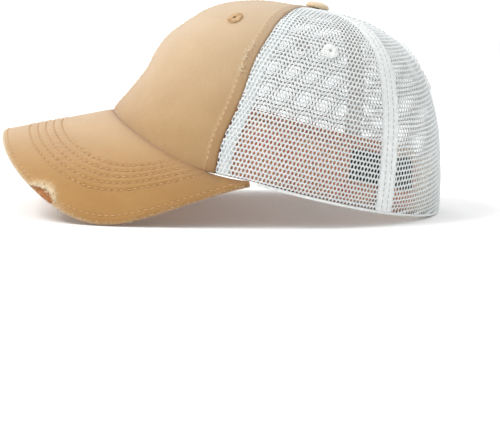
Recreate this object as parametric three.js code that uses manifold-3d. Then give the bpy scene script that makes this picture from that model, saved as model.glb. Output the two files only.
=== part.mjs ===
// Ponytail baseball cap with a cotton front, net sides and back, and a high opening for the hair.
// Millimetres, +Z up, front towards -Y, the wearer's left towards +X.
// The cap is shaped with its rim level, then tipped as it lies by itself: on the two side edges of
// the visor and on the back of the rim.
import * as THREE from "three";
import Module from "manifold-3d";

const wasm = await Module();
wasm.setup();

// Crown
const rimHalfLength = 102.4;
const rimHalfWidth = 83.5;
const crownHeight = 101;
const crownLean = 4.5; // how far the centre of the top lies behind the centre of the rim
const rimDip = 3; // how far the rim sags between the visor and the centre back
const cottonWall = 1.2;
const netWall = 1.0;
const seamGap = 0.3; // between neighbouring pieces
const layerGap = 0.5; // between curved layers, whose flat facets stand off the true curve

// Seams of the crown, as angles from the centre front
const frontSeamAngle = 66.5;
const sideSeamAngle = 123.5;
const frontTapeWidth = 7;
const sideTapeWidth = 11.5;
const backTapeWidth = 11;
const tapeWall = 1.0;
const tapeTopRadius = 6; // where the tapes stop short of the crown's centre
const frontTapeShift = 0.6; // share of its width that the front tape lies behind its seam
const tapeTurnLimit = 0.58; // radians that a tape may span near the top

// Button at the crown's top
const buttonRadius = 7;
const buttonHeight = 3.6;
const buttonRim = 0.5; // height of the button's upright rim
const buttonTurnIn = 0.4; // how far its lower edge is drawn in
const buttonFullness = 0.7; // exponent of its dome, 1 for a half ellipse
const rivetRadius = 1.5;
const rivetHeadRadius = 4.5;
const rivetHeadWall = 1;

// Eyelets
const eyeletRadius = 4.4;
const eyeletBore = 1.1;
const eyeletSleeve = 0.8; // wall of the sleeve that passes through the panel
const eyeletHeight = 0.9;
const eyeletRimDraft = 0.3; // how far the flange's outer edge slopes in
const frontEyeletAngle = 43;
const frontEyeletDrop = 16; // below the top of the crown
const sideEyeletAngle = 95;
const sideEyeletDrop = 23;

// Opening for the ponytail
const openingDrop = 20; // of its centre below the top of the crown
const openingWidth = 44;
const openingLength = 33;
const bindingWidth = 2.6;
const bindingStand = 0.5; // how far the binding stands out from the net

// Visor
const visorLength = 66;
const visorSeamLift = 18; // of the seam above the rim plane at the centre front
const visorPitch = 22.3; // degrees that the ridge dips from the rim plane
const visorTipTuck = 17.5; // how much the bend radius at the front edge falls short of rimHalfWidth
const visorBackSlack = 12; // how much the bend radius at the back exceeds rimHalfWidth
const visorBendRun = 150; // length from the front edge over which the bend opens up
const visorEndAngle = 77.5;
const visorEndWidth = 1.2;
const visorLayerWidth = 3; // least width of the lower layers, where they end
const visorCoverWall = 1.0;
const visorBoardWall = 1.6;
const visorEdgeFullness = 3.2; // exponent of the outer edge's curve, 2 for an ellipse
const visorFan = 0.65; // how far the lines across the visor fan out towards its edge

// Sweatband, hem, closure and label
const bandHeight = 32;
const bandWall = 1.5;
const bandEndArc = 32; // from the centre back
const hemWall = 1.2;
const hemStartAngle = 80;
const strapHeight = 20;
const strapLift = 3;
const strapWall = 1.0;
const strapOverlap = 9;
const labelLength = 46;
const labelHeight = 18;
const labelWall = 1.0;
const labelStartAngle = 109;

// Facets: how many columns, rows or steps each kind of body has
const frontColumns = 10;
const netColumns = 8;
const panelRows = 13;
const tapeColumns = 2;
const lowerTapeRows = 7;
const upperTapeRows = 5;
const eyeletSteps = 14;
const openingSteps = 32;
const bindingSteps = 40;
const buttonSteps = 20;
const domeSteps = 6;
const visorColumns = 34;
const visorRows = 6;
const bandColumns = 56;
const bandRows = 3;
const strapColumns = 12;
const labelColumns = 8;
const hemColumns = 36;
const cutterReach = 15; // half the length of the bodies that cut the holes

// Reach of the crown from its axis at each climb, as shares of rimHalfLength, rimHalfWidth and
// crownHeight.
const crownProfile = [
  { climb: 0, front: 1, side: 1, back: 1 },
  { climb: 0.17, front: 1, side: 0.985, back: 0.968 },
  { climb: 0.31, front: 0.93, side: 0.96, back: 0.93 },
  { climb: 0.45, front: 0.864, side: 0.925, back: 0.885 },
  { climb: 0.563, front: 0.836, side: 0.885, back: 0.833 },
  { climb: 0.67, front: 0.79, side: 0.83, back: 0.772 },
  { climb: 0.74, front: 0.735, side: 0.785, back: 0.722 },
  { climb: 0.81, front: 0.67, side: 0.725, back: 0.661 },
  { climb: 0.86, front: 0.62, side: 0.665, back: 0.594 },
  { climb: 0.916, front: 0.53, side: 0.57, back: 0.5 },
  { climb: 0.957, front: 0.416, side: 0.45, back: 0.386 },
  { climb: 0.985, front: 0.278, side: 0.3, back: 0.247 },
  { climb: 1, front: 0, side: 0, back: 0 },
];

const radians = THREE.MathUtils.degToRad;
const lerp = THREE.MathUtils.lerp;
const bisectionSteps = 40;

// Smooth curves of reach against climb, all with the same climb at the same t.
const profileCurve = (side) =>
  new THREE.SplineCurve(crownProfile.map((row) => new THREE.Vector2(row[side], row.climb)));
const frontCurve = profileCurve("front");
const sideCurve = profileCurve("side");
const backCurve = profileCurve("back");

// A point of the crown's outer surface. t runs from 0 at the rim to 1 at the centre of the top, and
// below 0 the wall goes straight down.
function crownPoint(angle, t) {
  const inside = Math.max(t, 0);
  const wide = sideCurve.getPoint(inside);
  const long = (Math.cos(angle) > 0 ? frontCurve : backCurve).getPoint(inside);
  const below = Math.min(t, 0) * (crownProfile.length - 1) * crownProfile[1].climb;
  return new THREE.Vector3(
    rimHalfWidth * wide.x * Math.sin(angle),
    crownLean * wide.y ** 2 - rimHalfLength * long.x * Math.cos(angle),
    crownHeight * (wide.y + below),
  );
}

function crownFrame(angle, t) {
  const step = 1e-4;
  const high = Math.min(t + step, 1 - step);
  const round = crownPoint(angle + step, t).sub(crownPoint(angle - step, t));
  const up = crownPoint(angle, high).sub(crownPoint(angle, high - 2 * step));
  return { normal: round.clone().cross(up).normalize(), perRadian: round.length() / (2 * step) };
}

// The surface moved in or out along its normal.
function offsetCrown(angle, t, offset) {
  return crownPoint(angle, t).addScaledVector(crownFrame(angle, t).normal, offset);
}

// The value between low and high where a growing function passes zero.
function solve(low, high, growing) {
  for (let i = 0; i < bisectionSteps; i++) {
    const middle = (low + high) / 2;
    if (growing(middle) > 0) high = middle;
    else low = middle;
  }
  return (low + high) / 2;
}

const crownTop = new THREE.Vector3(0, crownLean, crownHeight);
const heightToT = (height) => solve(-1, 1, (t) => crownPoint(0, t).z - height);
const radiusToT = (radius, angle) =>
  solve(0.5, 1, (t) => radius - crownPoint(angle, t).distanceTo(crownTop));

// Visor surface: a cone bent over the ridge line, which starts at the seam's centre front.
const visorStart = new THREE.Vector3(0, -rimHalfLength, visorSeamLift);
const ridgeWay = new THREE.Vector3(0, -Math.cos(radians(visorPitch)), -Math.sin(radians(visorPitch)));
const ridgeUp = new THREE.Vector3(0, ridgeWay.z, -ridgeWay.y);
const bendAt = (along) => {
  const run = Math.min(1, Math.max(0, (visorLength - along) / visorBendRun));
  const atTip = rimHalfWidth - visorTipTuck;
  return lerp(atTip, rimHalfWidth + visorBackSlack, Math.sin((run * Math.PI) / 2));
};

function visorPoint(across, along, depth) {
  const bend = bendAt(along);
  const turn = Math.asin(across / bend);
  return visorStart
    .clone()
    .addScaledVector(ridgeWay, along)
    .addScaledVector(ridgeUp, (bend - depth) * Math.cos(turn) - bend)
    .add(new THREE.Vector3((bend - depth) * Math.sin(turn), 0, 0));
}

// Where the visor, at a depth below its top, meets the crown: its place across and along the cone,
// and its height above the rim.
function visorSeam(angle, depth) {
  const local = (t) => {
    const point = offsetCrown(angle, t, seamGap);
    const from = point.clone().sub(visorStart);
    const along = from.dot(ridgeWay);
    const axisDrop = bendAt(along) + from.dot(ridgeUp);
    return { along, axisDrop, x: point.x, z: point.z, bend: bendAt(along) };
  };
  const t = solve(-0.5, 0.3, (t) => {
    const at = local(t);
    return Math.hypot(at.x, at.axisDrop) - (at.bend - depth);
  });
  const at = local(t);
  return { across: (at.bend * at.x) / (at.bend - depth), along: at.along, height: at.z };
}

const visorDepth = 2 * visorCoverWall + visorBoardWall + 2 * layerGap;
const visorEnd = visorSeam(radians(visorEndAngle), 0);

// The visor's outer edge, with share from -1 at one end to 1 at the other.
function visorEdge(share) {
  const size = Math.abs(share);
  const fanned = size + visorFan * size * (1 - size);
  const long = 1 - fanned ** visorEdgeFullness;
  const wide = (1 - long ** visorEdgeFullness) ** (1 / visorEdgeFullness);
  return {
    across: Math.sign(share) * wide * (visorEnd.across + visorEndWidth),
    along: lerp(visorEnd.along, visorLength, long),
  };
}

// Lower edge of the panels and the band: the rim, and the visor's underside in front of its ends.
const fromFront = (angle) => Math.abs(Math.atan2(Math.sin(angle), Math.cos(angle)));
function lowEdge(angle) {
  const past = (fromFront(angle) - radians(visorEndAngle)) / (Math.PI - radians(visorEndAngle));
  if (past > 0) return -rimDip * Math.sin(Math.PI * past);
  return Math.max(0, visorSeam(angle, visorDepth).height);
}

// A closed body from a grid of points with an outer and an inner side.
function sheetGeometry(columns, rows, pointAt) {
  const points = [];
  for (const side of [0, 1])
    for (let row = 0; row <= rows; row++)
      for (let column = 0; column <= columns; column++)
        points.push(pointAt(column / columns, row / rows, side));
  const wide = columns + 1;
  const at = (column, row, side) => side * wide * (rows + 1) + row * wide + column;
  const faces = [];
  const quad = (a, b, c, d) => faces.push(a, b, c, a, c, d);
  for (let row = 0; row < rows; row++)
    for (let column = 0; column < columns; column++) {
      const [right, up] = [column + 1, row + 1];
      quad(at(column, row, 0), at(right, row, 0), at(right, up, 0), at(column, up, 0));
      quad(at(column, row, 1), at(column, up, 1), at(right, up, 1), at(right, row, 1));
    }
  for (let column = 0; column < columns; column++) {
    const right = column + 1;
    quad(at(column, 0, 1), at(right, 0, 1), at(right, 0, 0), at(column, 0, 0));
    quad(at(column, rows, 0), at(right, rows, 0), at(right, rows, 1), at(column, rows, 1));
  }
  for (let row = 0; row < rows; row++) {
    const up = row + 1;
    quad(at(0, row, 0), at(0, up, 0), at(0, up, 1), at(0, row, 1));
    quad(at(columns, row, 1), at(columns, up, 1), at(columns, up, 0), at(columns, row, 0));
  }
  return closedGeometry(points, faces);
}

// A closed ring whose section has the given corners, with share from 0 to 1 round the ring.
function ringGeometry(steps, corners, pointAt) {
  const points = [];
  for (let step = 0; step < steps; step++)
    for (let corner = 0; corner < corners; corner++) points.push(pointAt(step / steps, corner));
  const at = (step, corner) => (step % steps) * corners + (corner % corners);
  const faces = [];
  for (let step = 0; step < steps; step++)
    for (let corner = 0; corner < corners; corner++) {
      const [a, b] = [at(step, corner), at(step + 1, corner)];
      const [c, d] = [at(step + 1, corner + 1), at(step, corner + 1)];
      faces.push(a, b, c, a, c, d);
    }
  return closedGeometry(points, faces);
}

// Indexed geometry of a closed body, with its faces turned outwards.
function closedGeometry(points, faces) {
  let volume = 0;
  for (let i = 0; i < faces.length; i += 3) {
    const [a, b, c] = [points[faces[i]], points[faces[i + 1]], points[faces[i + 2]]];
    volume += a.dot(b.clone().cross(c));
  }
  const outward = [...faces];
  if (volume < 0) outward.reverse();
  const geometry = new THREE.BufferGeometry().setFromPoints(points);
  return geometry.setIndex(outward);
}

function toSolid(geometry) {
  return new wasm.Manifold(
    new wasm.Mesh({
      numProp: 3,
      vertProperties: new Float32Array(geometry.attributes.position.array),
      triVerts: new Uint32Array(geometry.index.array),
    }),
  );
}

function toGeometry(solid) {
  const mesh = solid.getMesh();
  const geometry = new THREE.BufferGeometry();
  geometry.setAttribute("position", new THREE.BufferAttribute(mesh.vertProperties, 3));
  return geometry.setIndex(new THREE.BufferAttribute(mesh.triVerts, 1));
}

// Materials
const cloth = (color, roughness = 0.95) =>
  new THREE.MeshStandardMaterial({ color, roughness, metalness: 0 });
const cotton = cloth("#d8b488");
const cottonUnder = cloth("#c9a376");
const net = cloth("#e6e9e6", 0.8);
const tape = cloth("#e4e6e3");
const bandCotton = cloth("#e0b79a");
const boardMaterial = cloth("#a8713f");
const labelCloth = cloth("#4e5348");
const strapCloth = cloth("#ece6da");

// The cap with its rim level; every piece is a mesh of its own in it.
const cap = new THREE.Group();
function addPiece(name, geometry, material) {
  geometry.computeVertexNormals();
  const mesh = new THREE.Mesh(geometry, material);
  mesh.name = name;
  cap.add(mesh);
}

// Panels between two seam angles, from the low edge to the hole for the rivet.
const rivetHole = rivetRadius + seamGap;
const panelTop = radiusToT(rivetHole, 0);

function panelGeometry(start, end, wall, columns, rows) {
  return sheetGeometry(columns, rows, (across, climb, side) => {
    const mid = radians(lerp(start, end, across));
    const bottom = heightToT(lowEdge(mid));
    const t = lerp(bottom, panelTop, climb);
    const shift = (Math.sign(end - start) * seamGap) / 2 / crownFrame(mid, t).perRadian;
    const angle = mid + (across === 0 ? shift : across === 1 ? -shift : 0);
    return offsetCrown(angle, t, -wall * side);
  });
}

// A cylinder along the surface normal at a place on the crown, which cuts a hole there.
function holeCutter(angle, t, width, length, steps) {
  const { normal } = crownFrame(angle, t);
  const centre = crownPoint(angle, t);
  const sideways = new THREE.Vector3(-normal.y, normal.x, 0).normalize();
  const upwards = normal.clone().cross(sideways);
  const ends = [-cutterReach, cutterReach];
  const points = ends.map((depth) => centre.clone().addScaledVector(normal, depth));
  for (let step = 0; step < steps; step++)
    for (const depth of ends) {
      const turn = (2 * Math.PI * step) / steps;
      points.push(
        centre
          .clone()
          .addScaledVector(normal, depth)
          .addScaledVector(sideways, (width / 2) * Math.cos(turn))
          .addScaledVector(upwards, (length / 2) * Math.sin(turn)),
      );
    }
  const faces = [];
  for (let step = 0; step < steps; step++) {
    const [a, b] = [2 + 2 * step, 2 + 2 * ((step + 1) % steps)];
    faces.push(a, b, b + 1, a, b + 1, a + 1, 0, b, a, 1, a + 1, b + 1);
  }
  return toSolid(closedGeometry(points, faces));
}

// Sewn eyelet: a flange on the outside and a sleeve through the panel.
function eyeletGeometry(angle, t, wall) {
  const sleeve = eyeletBore + eyeletSleeve;
  const seat = seamGap;
  const profile = [
    [eyeletBore, -wall - seamGap],
    [sleeve, -wall - seamGap],
    [sleeve, seat],
    [eyeletRadius, seat],
    [eyeletRadius - eyeletRimDraft, seat + 0.6 * eyeletHeight],
    [lerp(sleeve, eyeletRadius, 0.4), seat + eyeletHeight],
    [sleeve, seat + 0.8 * eyeletHeight],
    [eyeletBore, seat],
    [eyeletBore, -wall - seamGap],
  ].map(([radius, height]) => new THREE.Vector2(radius, height));
  const corners = profile.length - 1;
  const { normal } = crownFrame(angle, t);
  const turnTo = new THREE.Quaternion().setFromUnitVectors(new THREE.Vector3(0, 0, 1), normal);
  const centre = crownPoint(angle, t);
  return ringGeometry(eyeletSteps, corners, (share, corner) => {
    const { x: radius, y: height } = profile[corner];
    const turn = 2 * Math.PI * share;
    return new THREE.Vector3(radius * Math.cos(turn), radius * Math.sin(turn), height)
      .applyQuaternion(turnTo)
      .add(centre);
  });
}

// Crown panels with their eyelets. Side 1 is the wearer's left, and side -1 the right.
const openingHeight = crownHeight - openingDrop;
const openingT = heightToT(openingHeight);
const openingCutter = holeCutter(
  Math.PI,
  openingT,
  openingWidth,
  openingLength,
  openingSteps,
);
const eyeletHole = 2 * (eyeletBore + eyeletSleeve + seamGap);
const frontEyeletT = heightToT(crownHeight - frontEyeletDrop);
const sideEyeletT = heightToT(crownHeight - sideEyeletDrop);

for (const [name, side] of [
  ["left", 1],
  ["right", -1],
]) {
  const cutEyelet = (angle, t) => holeCutter(side * radians(angle), t, eyeletHole, eyeletHole, eyeletSteps);
  const panel = (start, end, wall, columns) =>
    toSolid(panelGeometry(side * start, side * end, wall, columns, panelRows));
  const frontHole = cutEyelet(frontEyeletAngle, frontEyeletT);
  const sideHole = cutEyelet(sideEyeletAngle, sideEyeletT);
  const front = panel(0, frontSeamAngle, cottonWall, frontColumns);
  const middle = panel(frontSeamAngle, sideSeamAngle, netWall, netColumns);
  const back = panel(sideSeamAngle, 180, netWall, netColumns);
  addPiece("front_panel_" + name, toGeometry(front.subtract(frontHole)), cotton);
  addPiece("side_mesh_" + name, toGeometry(middle.subtract(sideHole)), net);
  addPiece("back_mesh_" + name, toGeometry(back.subtract(openingCutter)), net);
  addPiece(
    "front_eyelet_" + name,
    eyeletGeometry(side * radians(frontEyeletAngle), frontEyeletT, cottonWall),
    cotton,
  );
  addPiece(
    "side_eyelet_" + name,
    eyeletGeometry(side * radians(sideEyeletAngle), sideEyeletT, netWall),
    tape,
  );
}

// Depths behind the crown's surface: tapes, then the label and the strap, then the band.
const tapeDepth = netWall + layerGap;
const labelDepth = tapeDepth + tapeWall + layerGap;
const bandDepth = labelDepth + Math.max(labelWall, strapWall) + seamGap;

// Seam tapes: strips on the inside of the net that follow a seam, narrowed near the top.
function tapeGeometry(angle, width, shift, fromT, toT, rows) {
  return sheetGeometry(tapeColumns, rows, (across, climb, side) => {
    const bottom = fromT === null ? heightToT(lowEdge(angle)) : fromT;
    const t = lerp(bottom, toT, climb);
    const perRadian = crownFrame(angle, t).perRadian;
    const turn = Math.min(width / perRadian, tapeTurnLimit);
    const place = angle + turn * (across - 0.5 + shift);
    return offsetCrown(place, t, -tapeDepth - tapeWall * side);
  });
}

const tapeTop = radiusToT(tapeTopRadius, Math.PI / 2);
for (const [name, side] of [
  ["left", 1],
  ["right", -1],
]) {
  addPiece(
    "front_seam_tape_" + name,
    tapeGeometry(
      side * radians(frontSeamAngle),
      frontTapeWidth,
      side * frontTapeShift,
      null,
      tapeTop,
      panelRows,
    ),
    tape,
  );
  addPiece(
    "side_seam_tape_" + name,
    tapeGeometry(side * radians(sideSeamAngle), sideTapeWidth, 0, null, tapeTop, panelRows),
    tape,
  );
}

// The tape down the centre back stops at the opening's binding.
const openingReach = openingLength / 2 + bindingWidth;
const slope = crownFrame(Math.PI, openingT).normal;
const openingRise = openingReach * Math.hypot(slope.x, slope.y);
const belowOpening = heightToT(openingHeight - openingRise);
const aboveOpening = heightToT(openingHeight + openingRise);
addPiece(
  "back_seam_tape_lower",
  tapeGeometry(Math.PI, backTapeWidth, 0, heightToT(0), belowOpening, lowerTapeRows),
  tape,
);
addPiece(
  "back_seam_tape_upper",
  tapeGeometry(Math.PI, backTapeWidth, 0, aboveOpening, tapeTop, upperTapeRows),
  tape,
);

// Button: a covered dome, with a rivet through the crown and a flat head inside.
function buttonGeometry() {
  const seat = crownHeight + seamGap;
  const headTop = crownHeight - tapeDepth - tapeWall - layerGap;
  const profile = [new THREE.Vector2(0, headTop - rivetHeadWall)];
  profile.push(new THREE.Vector2(rivetHeadRadius, headTop - rivetHeadWall));
  profile.push(new THREE.Vector2(rivetHeadRadius, headTop));
  profile.push(new THREE.Vector2(rivetRadius, headTop));
  profile.push(new THREE.Vector2(rivetRadius, seat));
  profile.push(new THREE.Vector2(buttonRadius - buttonTurnIn, seat));
  for (let i = 0; i <= domeSteps; i++) {
    const turn = (Math.PI / 2) * (i / domeSteps);
    const radius = i === domeSteps ? 0 : buttonRadius * Math.cos(turn) ** buttonFullness;
    const rise = buttonRim + (buttonHeight - buttonRim) * Math.sin(turn);
    profile.push(new THREE.Vector2(radius, seat + rise));
  }
  const steps = buttonSteps;
  const points = [];
  const faces = [];
  const ring = (i, step) => 2 + (i - 1) * steps + (step % steps);
  const last = profile.length - 1;
  points.push(new THREE.Vector3(0, crownLean, profile[0].y));
  points.push(new THREE.Vector3(0, crownLean, profile[last].y));
  for (let i = 1; i < last; i++)
    for (let step = 0; step < steps; step++) {
      const turn = (2 * Math.PI * step) / steps;
      const radius = profile[i].x;
      points.push(
        new THREE.Vector3(
          radius * Math.cos(turn),
          crownLean + radius * Math.sin(turn),
          profile[i].y,
        ),
      );
    }
  for (let step = 0; step < steps; step++) {
    faces.push(0, ring(1, step + 1), ring(1, step));
    faces.push(1, ring(last - 1, step), ring(last - 1, step + 1));
    for (let i = 1; i < last - 1; i++) {
      const [a, b] = [ring(i, step), ring(i, step + 1)];
      const [c, d] = [ring(i + 1, step + 1), ring(i + 1, step)];
      faces.push(a, b, c, a, c, d);
    }
  }
  return closedGeometry(points, faces);
}
addPiece("top_button", buttonGeometry(), cotton);

// Binding of the ponytail opening: a flat ring just inside the cut edge of the net.
function bindingGeometry() {
  const { normal } = crownFrame(Math.PI, openingT);
  const centre = crownPoint(Math.PI, openingT);
  const upwards = normal.clone().cross(new THREE.Vector3(-1, 0, 0));
  const corners = [
    [seamGap, bindingStand],
    [seamGap + bindingWidth, bindingStand],
    [seamGap + bindingWidth, -netWall - bindingStand],
    [seamGap, -netWall - bindingStand],
  ];
  return ringGeometry(bindingSteps, corners.length, (share, corner) => {
    const turn = 2 * Math.PI * share;
    const [inset, offset] = corners[corner];
    const x = (openingWidth / 2 - inset) * Math.cos(turn);
    const up = (openingLength / 2 - inset) * Math.sin(turn);
    const flat = centre.clone().addScaledVector(upwards, up);
    const t = heightToT(solveCrownHeight(x, flat, normal));
    const angle = Math.PI - Math.asin(x / (rimHalfWidth * sideCurve.getPoint(t).x));
    return offsetCrown(angle, t, offset);
  });
}

// Height at which a line along the normal, from a place beside the centre back, meets the crown.
function solveCrownHeight(x, flat, normal) {
  const depth = solve(-30, 30, (along) => {
    const point = flat.clone().addScaledVector(normal, along);
    const t = heightToT(point.z);
    const wide = x / (rimHalfWidth * sideCurve.getPoint(t).x);
    const angle = Math.PI - Math.asin(Math.min(1, Math.max(-1, wide)));
    return point.y - crownPoint(angle, t).y;
  });
  return flat.clone().addScaledVector(normal, depth).z;
}
addPiece("ponytail_opening_binding", bindingGeometry(), tape);

// Visor layers: each is a strip of the cone between the seam and the outer edge. The lower layers
// end earlier, where the space between the crown and the edge gets too narrow for them.
function layerEnd(depth) {
  const narrowness = (share) => {
    const seam = visorSeam(share * radians(visorEndAngle), depth);
    const edge = visorEdge(share);
    return visorLayerWidth - (edge.across - seam.across);
  };
  return Math.min(1, solve(0.5, 1, narrowness));
}

function visorLayer(topDepth, wall) {
  const end = topDepth === 0 ? 1 : layerEnd(topDepth + wall);
  return sheetGeometry(visorColumns, visorRows, (across, out, side) => {
    const share = end * (2 * across - 1);
    const depth = topDepth + wall * side;
    const seam = visorSeam(share * radians(visorEndAngle), depth);
    const edge = visorEdge(share);
    return visorPoint(
      lerp(seam.across, edge.across, out),
      lerp(seam.along, edge.along, out),
      depth,
    );
  });
}
const boardDepth = visorCoverWall + layerGap;
const underDepth = boardDepth + visorBoardWall + layerGap;
addPiece("visor_top", visorLayer(0, visorCoverWall), cotton);
addPiece("visor_board", visorLayer(boardDepth, visorBoardWall), boardMaterial);
addPiece("visor_under", visorLayer(underDepth, visorCoverWall), cottonUnder);

// A strip that runs round inside the crown, between two heights above the low edge.
function stripGeometry(start, end, low, high, depth, wall, columns, rows) {
  return sheetGeometry(columns, rows, (across, climb, side) => {
    const angle = lerp(start, end, across);
    const t = heightToT(lowEdge(angle) + lerp(low, high, climb));
    return offsetCrown(angle, t, -depth - wall * side);
  });
}

const bandEndAngle = Math.PI - bandEndArc / rimHalfWidth;
addPiece(
  "sweatband",
  stripGeometry(
    -bandEndAngle,
    bandEndAngle,
    0,
    bandHeight,
    bandDepth,
    bandWall,
    bandColumns,
    bandRows,
  ),
  bandCotton,
);

const strapAngle = Math.PI - (bandEndArc + strapOverlap) / rimHalfWidth;
addPiece(
  "closure_strap",
  stripGeometry(
    strapAngle,
    2 * Math.PI - strapAngle,
    strapLift,
    strapLift + strapHeight,
    labelDepth,
    strapWall,
    strapColumns,
    1,
  ),
  strapCloth,
);

const labelStart = radians(labelStartAngle);
const labelEnd = labelStart + labelLength / crownFrame(labelStart, heightToT(bandHeight)).perRadian;
addPiece(
  "band_label",
  stripGeometry(
    labelStart,
    labelEnd,
    bandHeight - labelHeight,
    bandHeight,
    labelDepth,
    labelWall,
    labelColumns,
    1,
  ),
  labelCloth,
);

// Hem: a flat tape under the edges of the net and the band, from one visor end round to the other.
function hemGeometry() {
  const start = radians(hemStartAngle);
  return sheetGeometry(hemColumns, 1, (across, inward, side) => {
    const angle = lerp(start, 2 * Math.PI - start, across);
    const offset = -inward * (bandDepth + bandWall);
    const point = offsetCrown(angle, heightToT(lowEdge(angle)), offset);
    point.z = lowEdge(angle) - seamGap - hemWall * side;
    return point;
  });
}
addPiece("rim_hem", hemGeometry(), tape);

// Points of every piece, with the rim level.
const allPoints = cap.children.flatMap((mesh) => {
  const position = mesh.geometry.attributes.position;
  return Array.from({ length: position.count }, (_, i) =>
    new THREE.Vector3().fromBufferAttribute(position, i),
  );
});

// Tip the cap until the front half and the back half reach equally low, as it lies on a surface.
const tippedHeight = (point, tip) => point.z * Math.cos(tip) - point.y * Math.sin(tip);
const lowest = (tip, half) =>
  Math.min(...allPoints.filter((p) => p.y * half > 0).map((p) => tippedHeight(p, tip)));
const restTip = solve(0, radians(40), (tip) => lowest(tip, -1) - lowest(tip, 1));
cap.rotation.x = -restTip;
cap.updateMatrixWorld(true);
const box = new THREE.Box3().setFromObject(cap, true);
cap.position.set(0, -(box.min.y + box.max.y) / 2, -box.min.z);

const restingCap = new THREE.Group();
restingCap.add(cap);
export default restingCap;
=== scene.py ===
import math

import bmesh
import bpy
import numpy as np
from mathutils import Matrix, Vector


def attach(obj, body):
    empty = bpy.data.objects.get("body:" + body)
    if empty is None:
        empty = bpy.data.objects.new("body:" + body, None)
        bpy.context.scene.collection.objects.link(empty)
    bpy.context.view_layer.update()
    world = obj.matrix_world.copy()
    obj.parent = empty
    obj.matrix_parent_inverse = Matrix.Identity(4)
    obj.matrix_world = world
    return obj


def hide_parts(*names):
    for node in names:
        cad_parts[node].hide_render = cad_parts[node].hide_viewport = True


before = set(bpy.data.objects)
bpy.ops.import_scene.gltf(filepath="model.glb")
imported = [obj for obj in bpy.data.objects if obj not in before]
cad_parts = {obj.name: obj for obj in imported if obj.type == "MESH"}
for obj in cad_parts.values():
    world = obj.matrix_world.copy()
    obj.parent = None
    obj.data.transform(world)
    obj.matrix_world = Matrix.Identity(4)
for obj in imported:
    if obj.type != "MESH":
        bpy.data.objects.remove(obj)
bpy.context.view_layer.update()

# Camera, light and floor: the camera stands level with the crown at the wearer's left and looks a
# little down. Soft daylight comes from above the visor, and the cap rests on a plain white floor.
CAMERA_PLACE = Vector((0.8218, -0.0509, 0.1163))
CAMERA_HEADING = math.radians(4.68)
CAMERA_PITCH = math.radians(-8.71)
CAMERA_ROLL = math.radians(0.975)
CAMERA_LENS = 98.8
CAMERA_NEAR = 0.01
SKY = (1.0, 1.0, 1.0, 1.0)
SKY_BEHIND = 1.2  # strength of the sky behind the cap
SKY_BEFORE = 0.4  # and on the camera's side
SKY_TURN = 0.9  # how far towards the camera's side it fades
KEY_PLACE = Vector((0.25, -1.1, 1.5))
KEY_SIZE = 0.7
KEY_POWER = 20.0
FLOOR_SIZE = 12.0
FLOOR_COLOUR = (0.98, 0.98, 0.98, 1.0)


def place_camera():
    look = Vector(
        (
            -math.cos(CAMERA_HEADING) * math.cos(CAMERA_PITCH),
            math.sin(CAMERA_HEADING) * math.cos(CAMERA_PITCH),
            math.sin(CAMERA_PITCH),
        )
    )
    level = look.cross(Vector((0, 0, 1))).normalized()
    upright = level.cross(look)
    right = level * math.cos(CAMERA_ROLL) + upright * math.sin(CAMERA_ROLL)
    up = upright * math.cos(CAMERA_ROLL) - level * math.sin(CAMERA_ROLL)
    camera = bpy.data.objects.new("camera", bpy.data.cameras.new("camera"))
    camera.data.lens = CAMERA_LENS
    camera.data.clip_start = CAMERA_NEAR
    turn = Matrix((right, up, -look)).transposed().to_4x4()
    camera.matrix_world = Matrix.Translation(CAMERA_PLACE) @ turn
    bpy.context.scene.collection.objects.link(camera)
    bpy.context.scene.camera = camera


def place_light(place, size, power):
    lamp = bpy.data.lights.new("soft light", "AREA")
    lamp.size = size
    lamp.energy = power
    light = bpy.data.objects.new("soft light", lamp)
    light.location = place
    light.rotation_euler = (-place).to_track_quat("-Z", "Y").to_euler()
    bpy.context.scene.collection.objects.link(light)


def finish_mesh(bm, mesh):
    """Writes what was made with bmesh into a mesh, given itself or by a new name."""
    if isinstance(mesh, str):
        mesh = bpy.data.meshes.new(mesh)
    bm.to_mesh(mesh)
    bm.free()
    return mesh


def lay_floor():
    bm = bmesh.new()
    bmesh.ops.create_grid(bm, x_segments=1, y_segments=1, size=FLOOR_SIZE / 2)
    mesh = finish_mesh(bm, "floor")
    paper = bpy.data.materials.new("white paper")
    paper.use_nodes = True
    shader = paper.node_tree.nodes["Principled BSDF"]
    shader.inputs["Base Color"].default_value = FLOOR_COLOUR
    shader.inputs["Roughness"].default_value = 0.9
    mesh.materials.append(paper)
    floor = bpy.data.objects.new("floor", mesh)
    bpy.context.scene.collection.objects.link(floor)


def light_sky():
    """A white sky that is brightest behind the cap and fades towards the camera's side."""
    world = bpy.data.worlds.new("daylight")
    world.use_nodes = True
    nodes = world.node_tree.nodes
    links = world.node_tree.links
    way = nodes.new("ShaderNodeTexCoord")
    parts = nodes.new("ShaderNodeSeparateXYZ")
    fade = nodes.new("ShaderNodeMapRange")
    fade.inputs["From Min"].default_value = 0.0
    fade.inputs["From Max"].default_value = SKY_TURN
    fade.inputs["To Min"].default_value = SKY_BEHIND
    fade.inputs["To Max"].default_value = SKY_BEFORE
    links.new(way.outputs["Generated"], parts.inputs["Vector"])
    links.new(parts.outputs["X"], fade.inputs["Value"])
    links.new(fade.outputs["Result"], nodes["Background"].inputs["Strength"])
    nodes["Background"].inputs["Color"].default_value = SKY
    bpy.context.scene.world = world


place_camera()
place_light(KEY_PLACE, KEY_SIZE, KEY_POWER)
lay_floor()
light_sky()
bpy.context.scene.view_settings.view_transform = "Standard"

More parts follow.
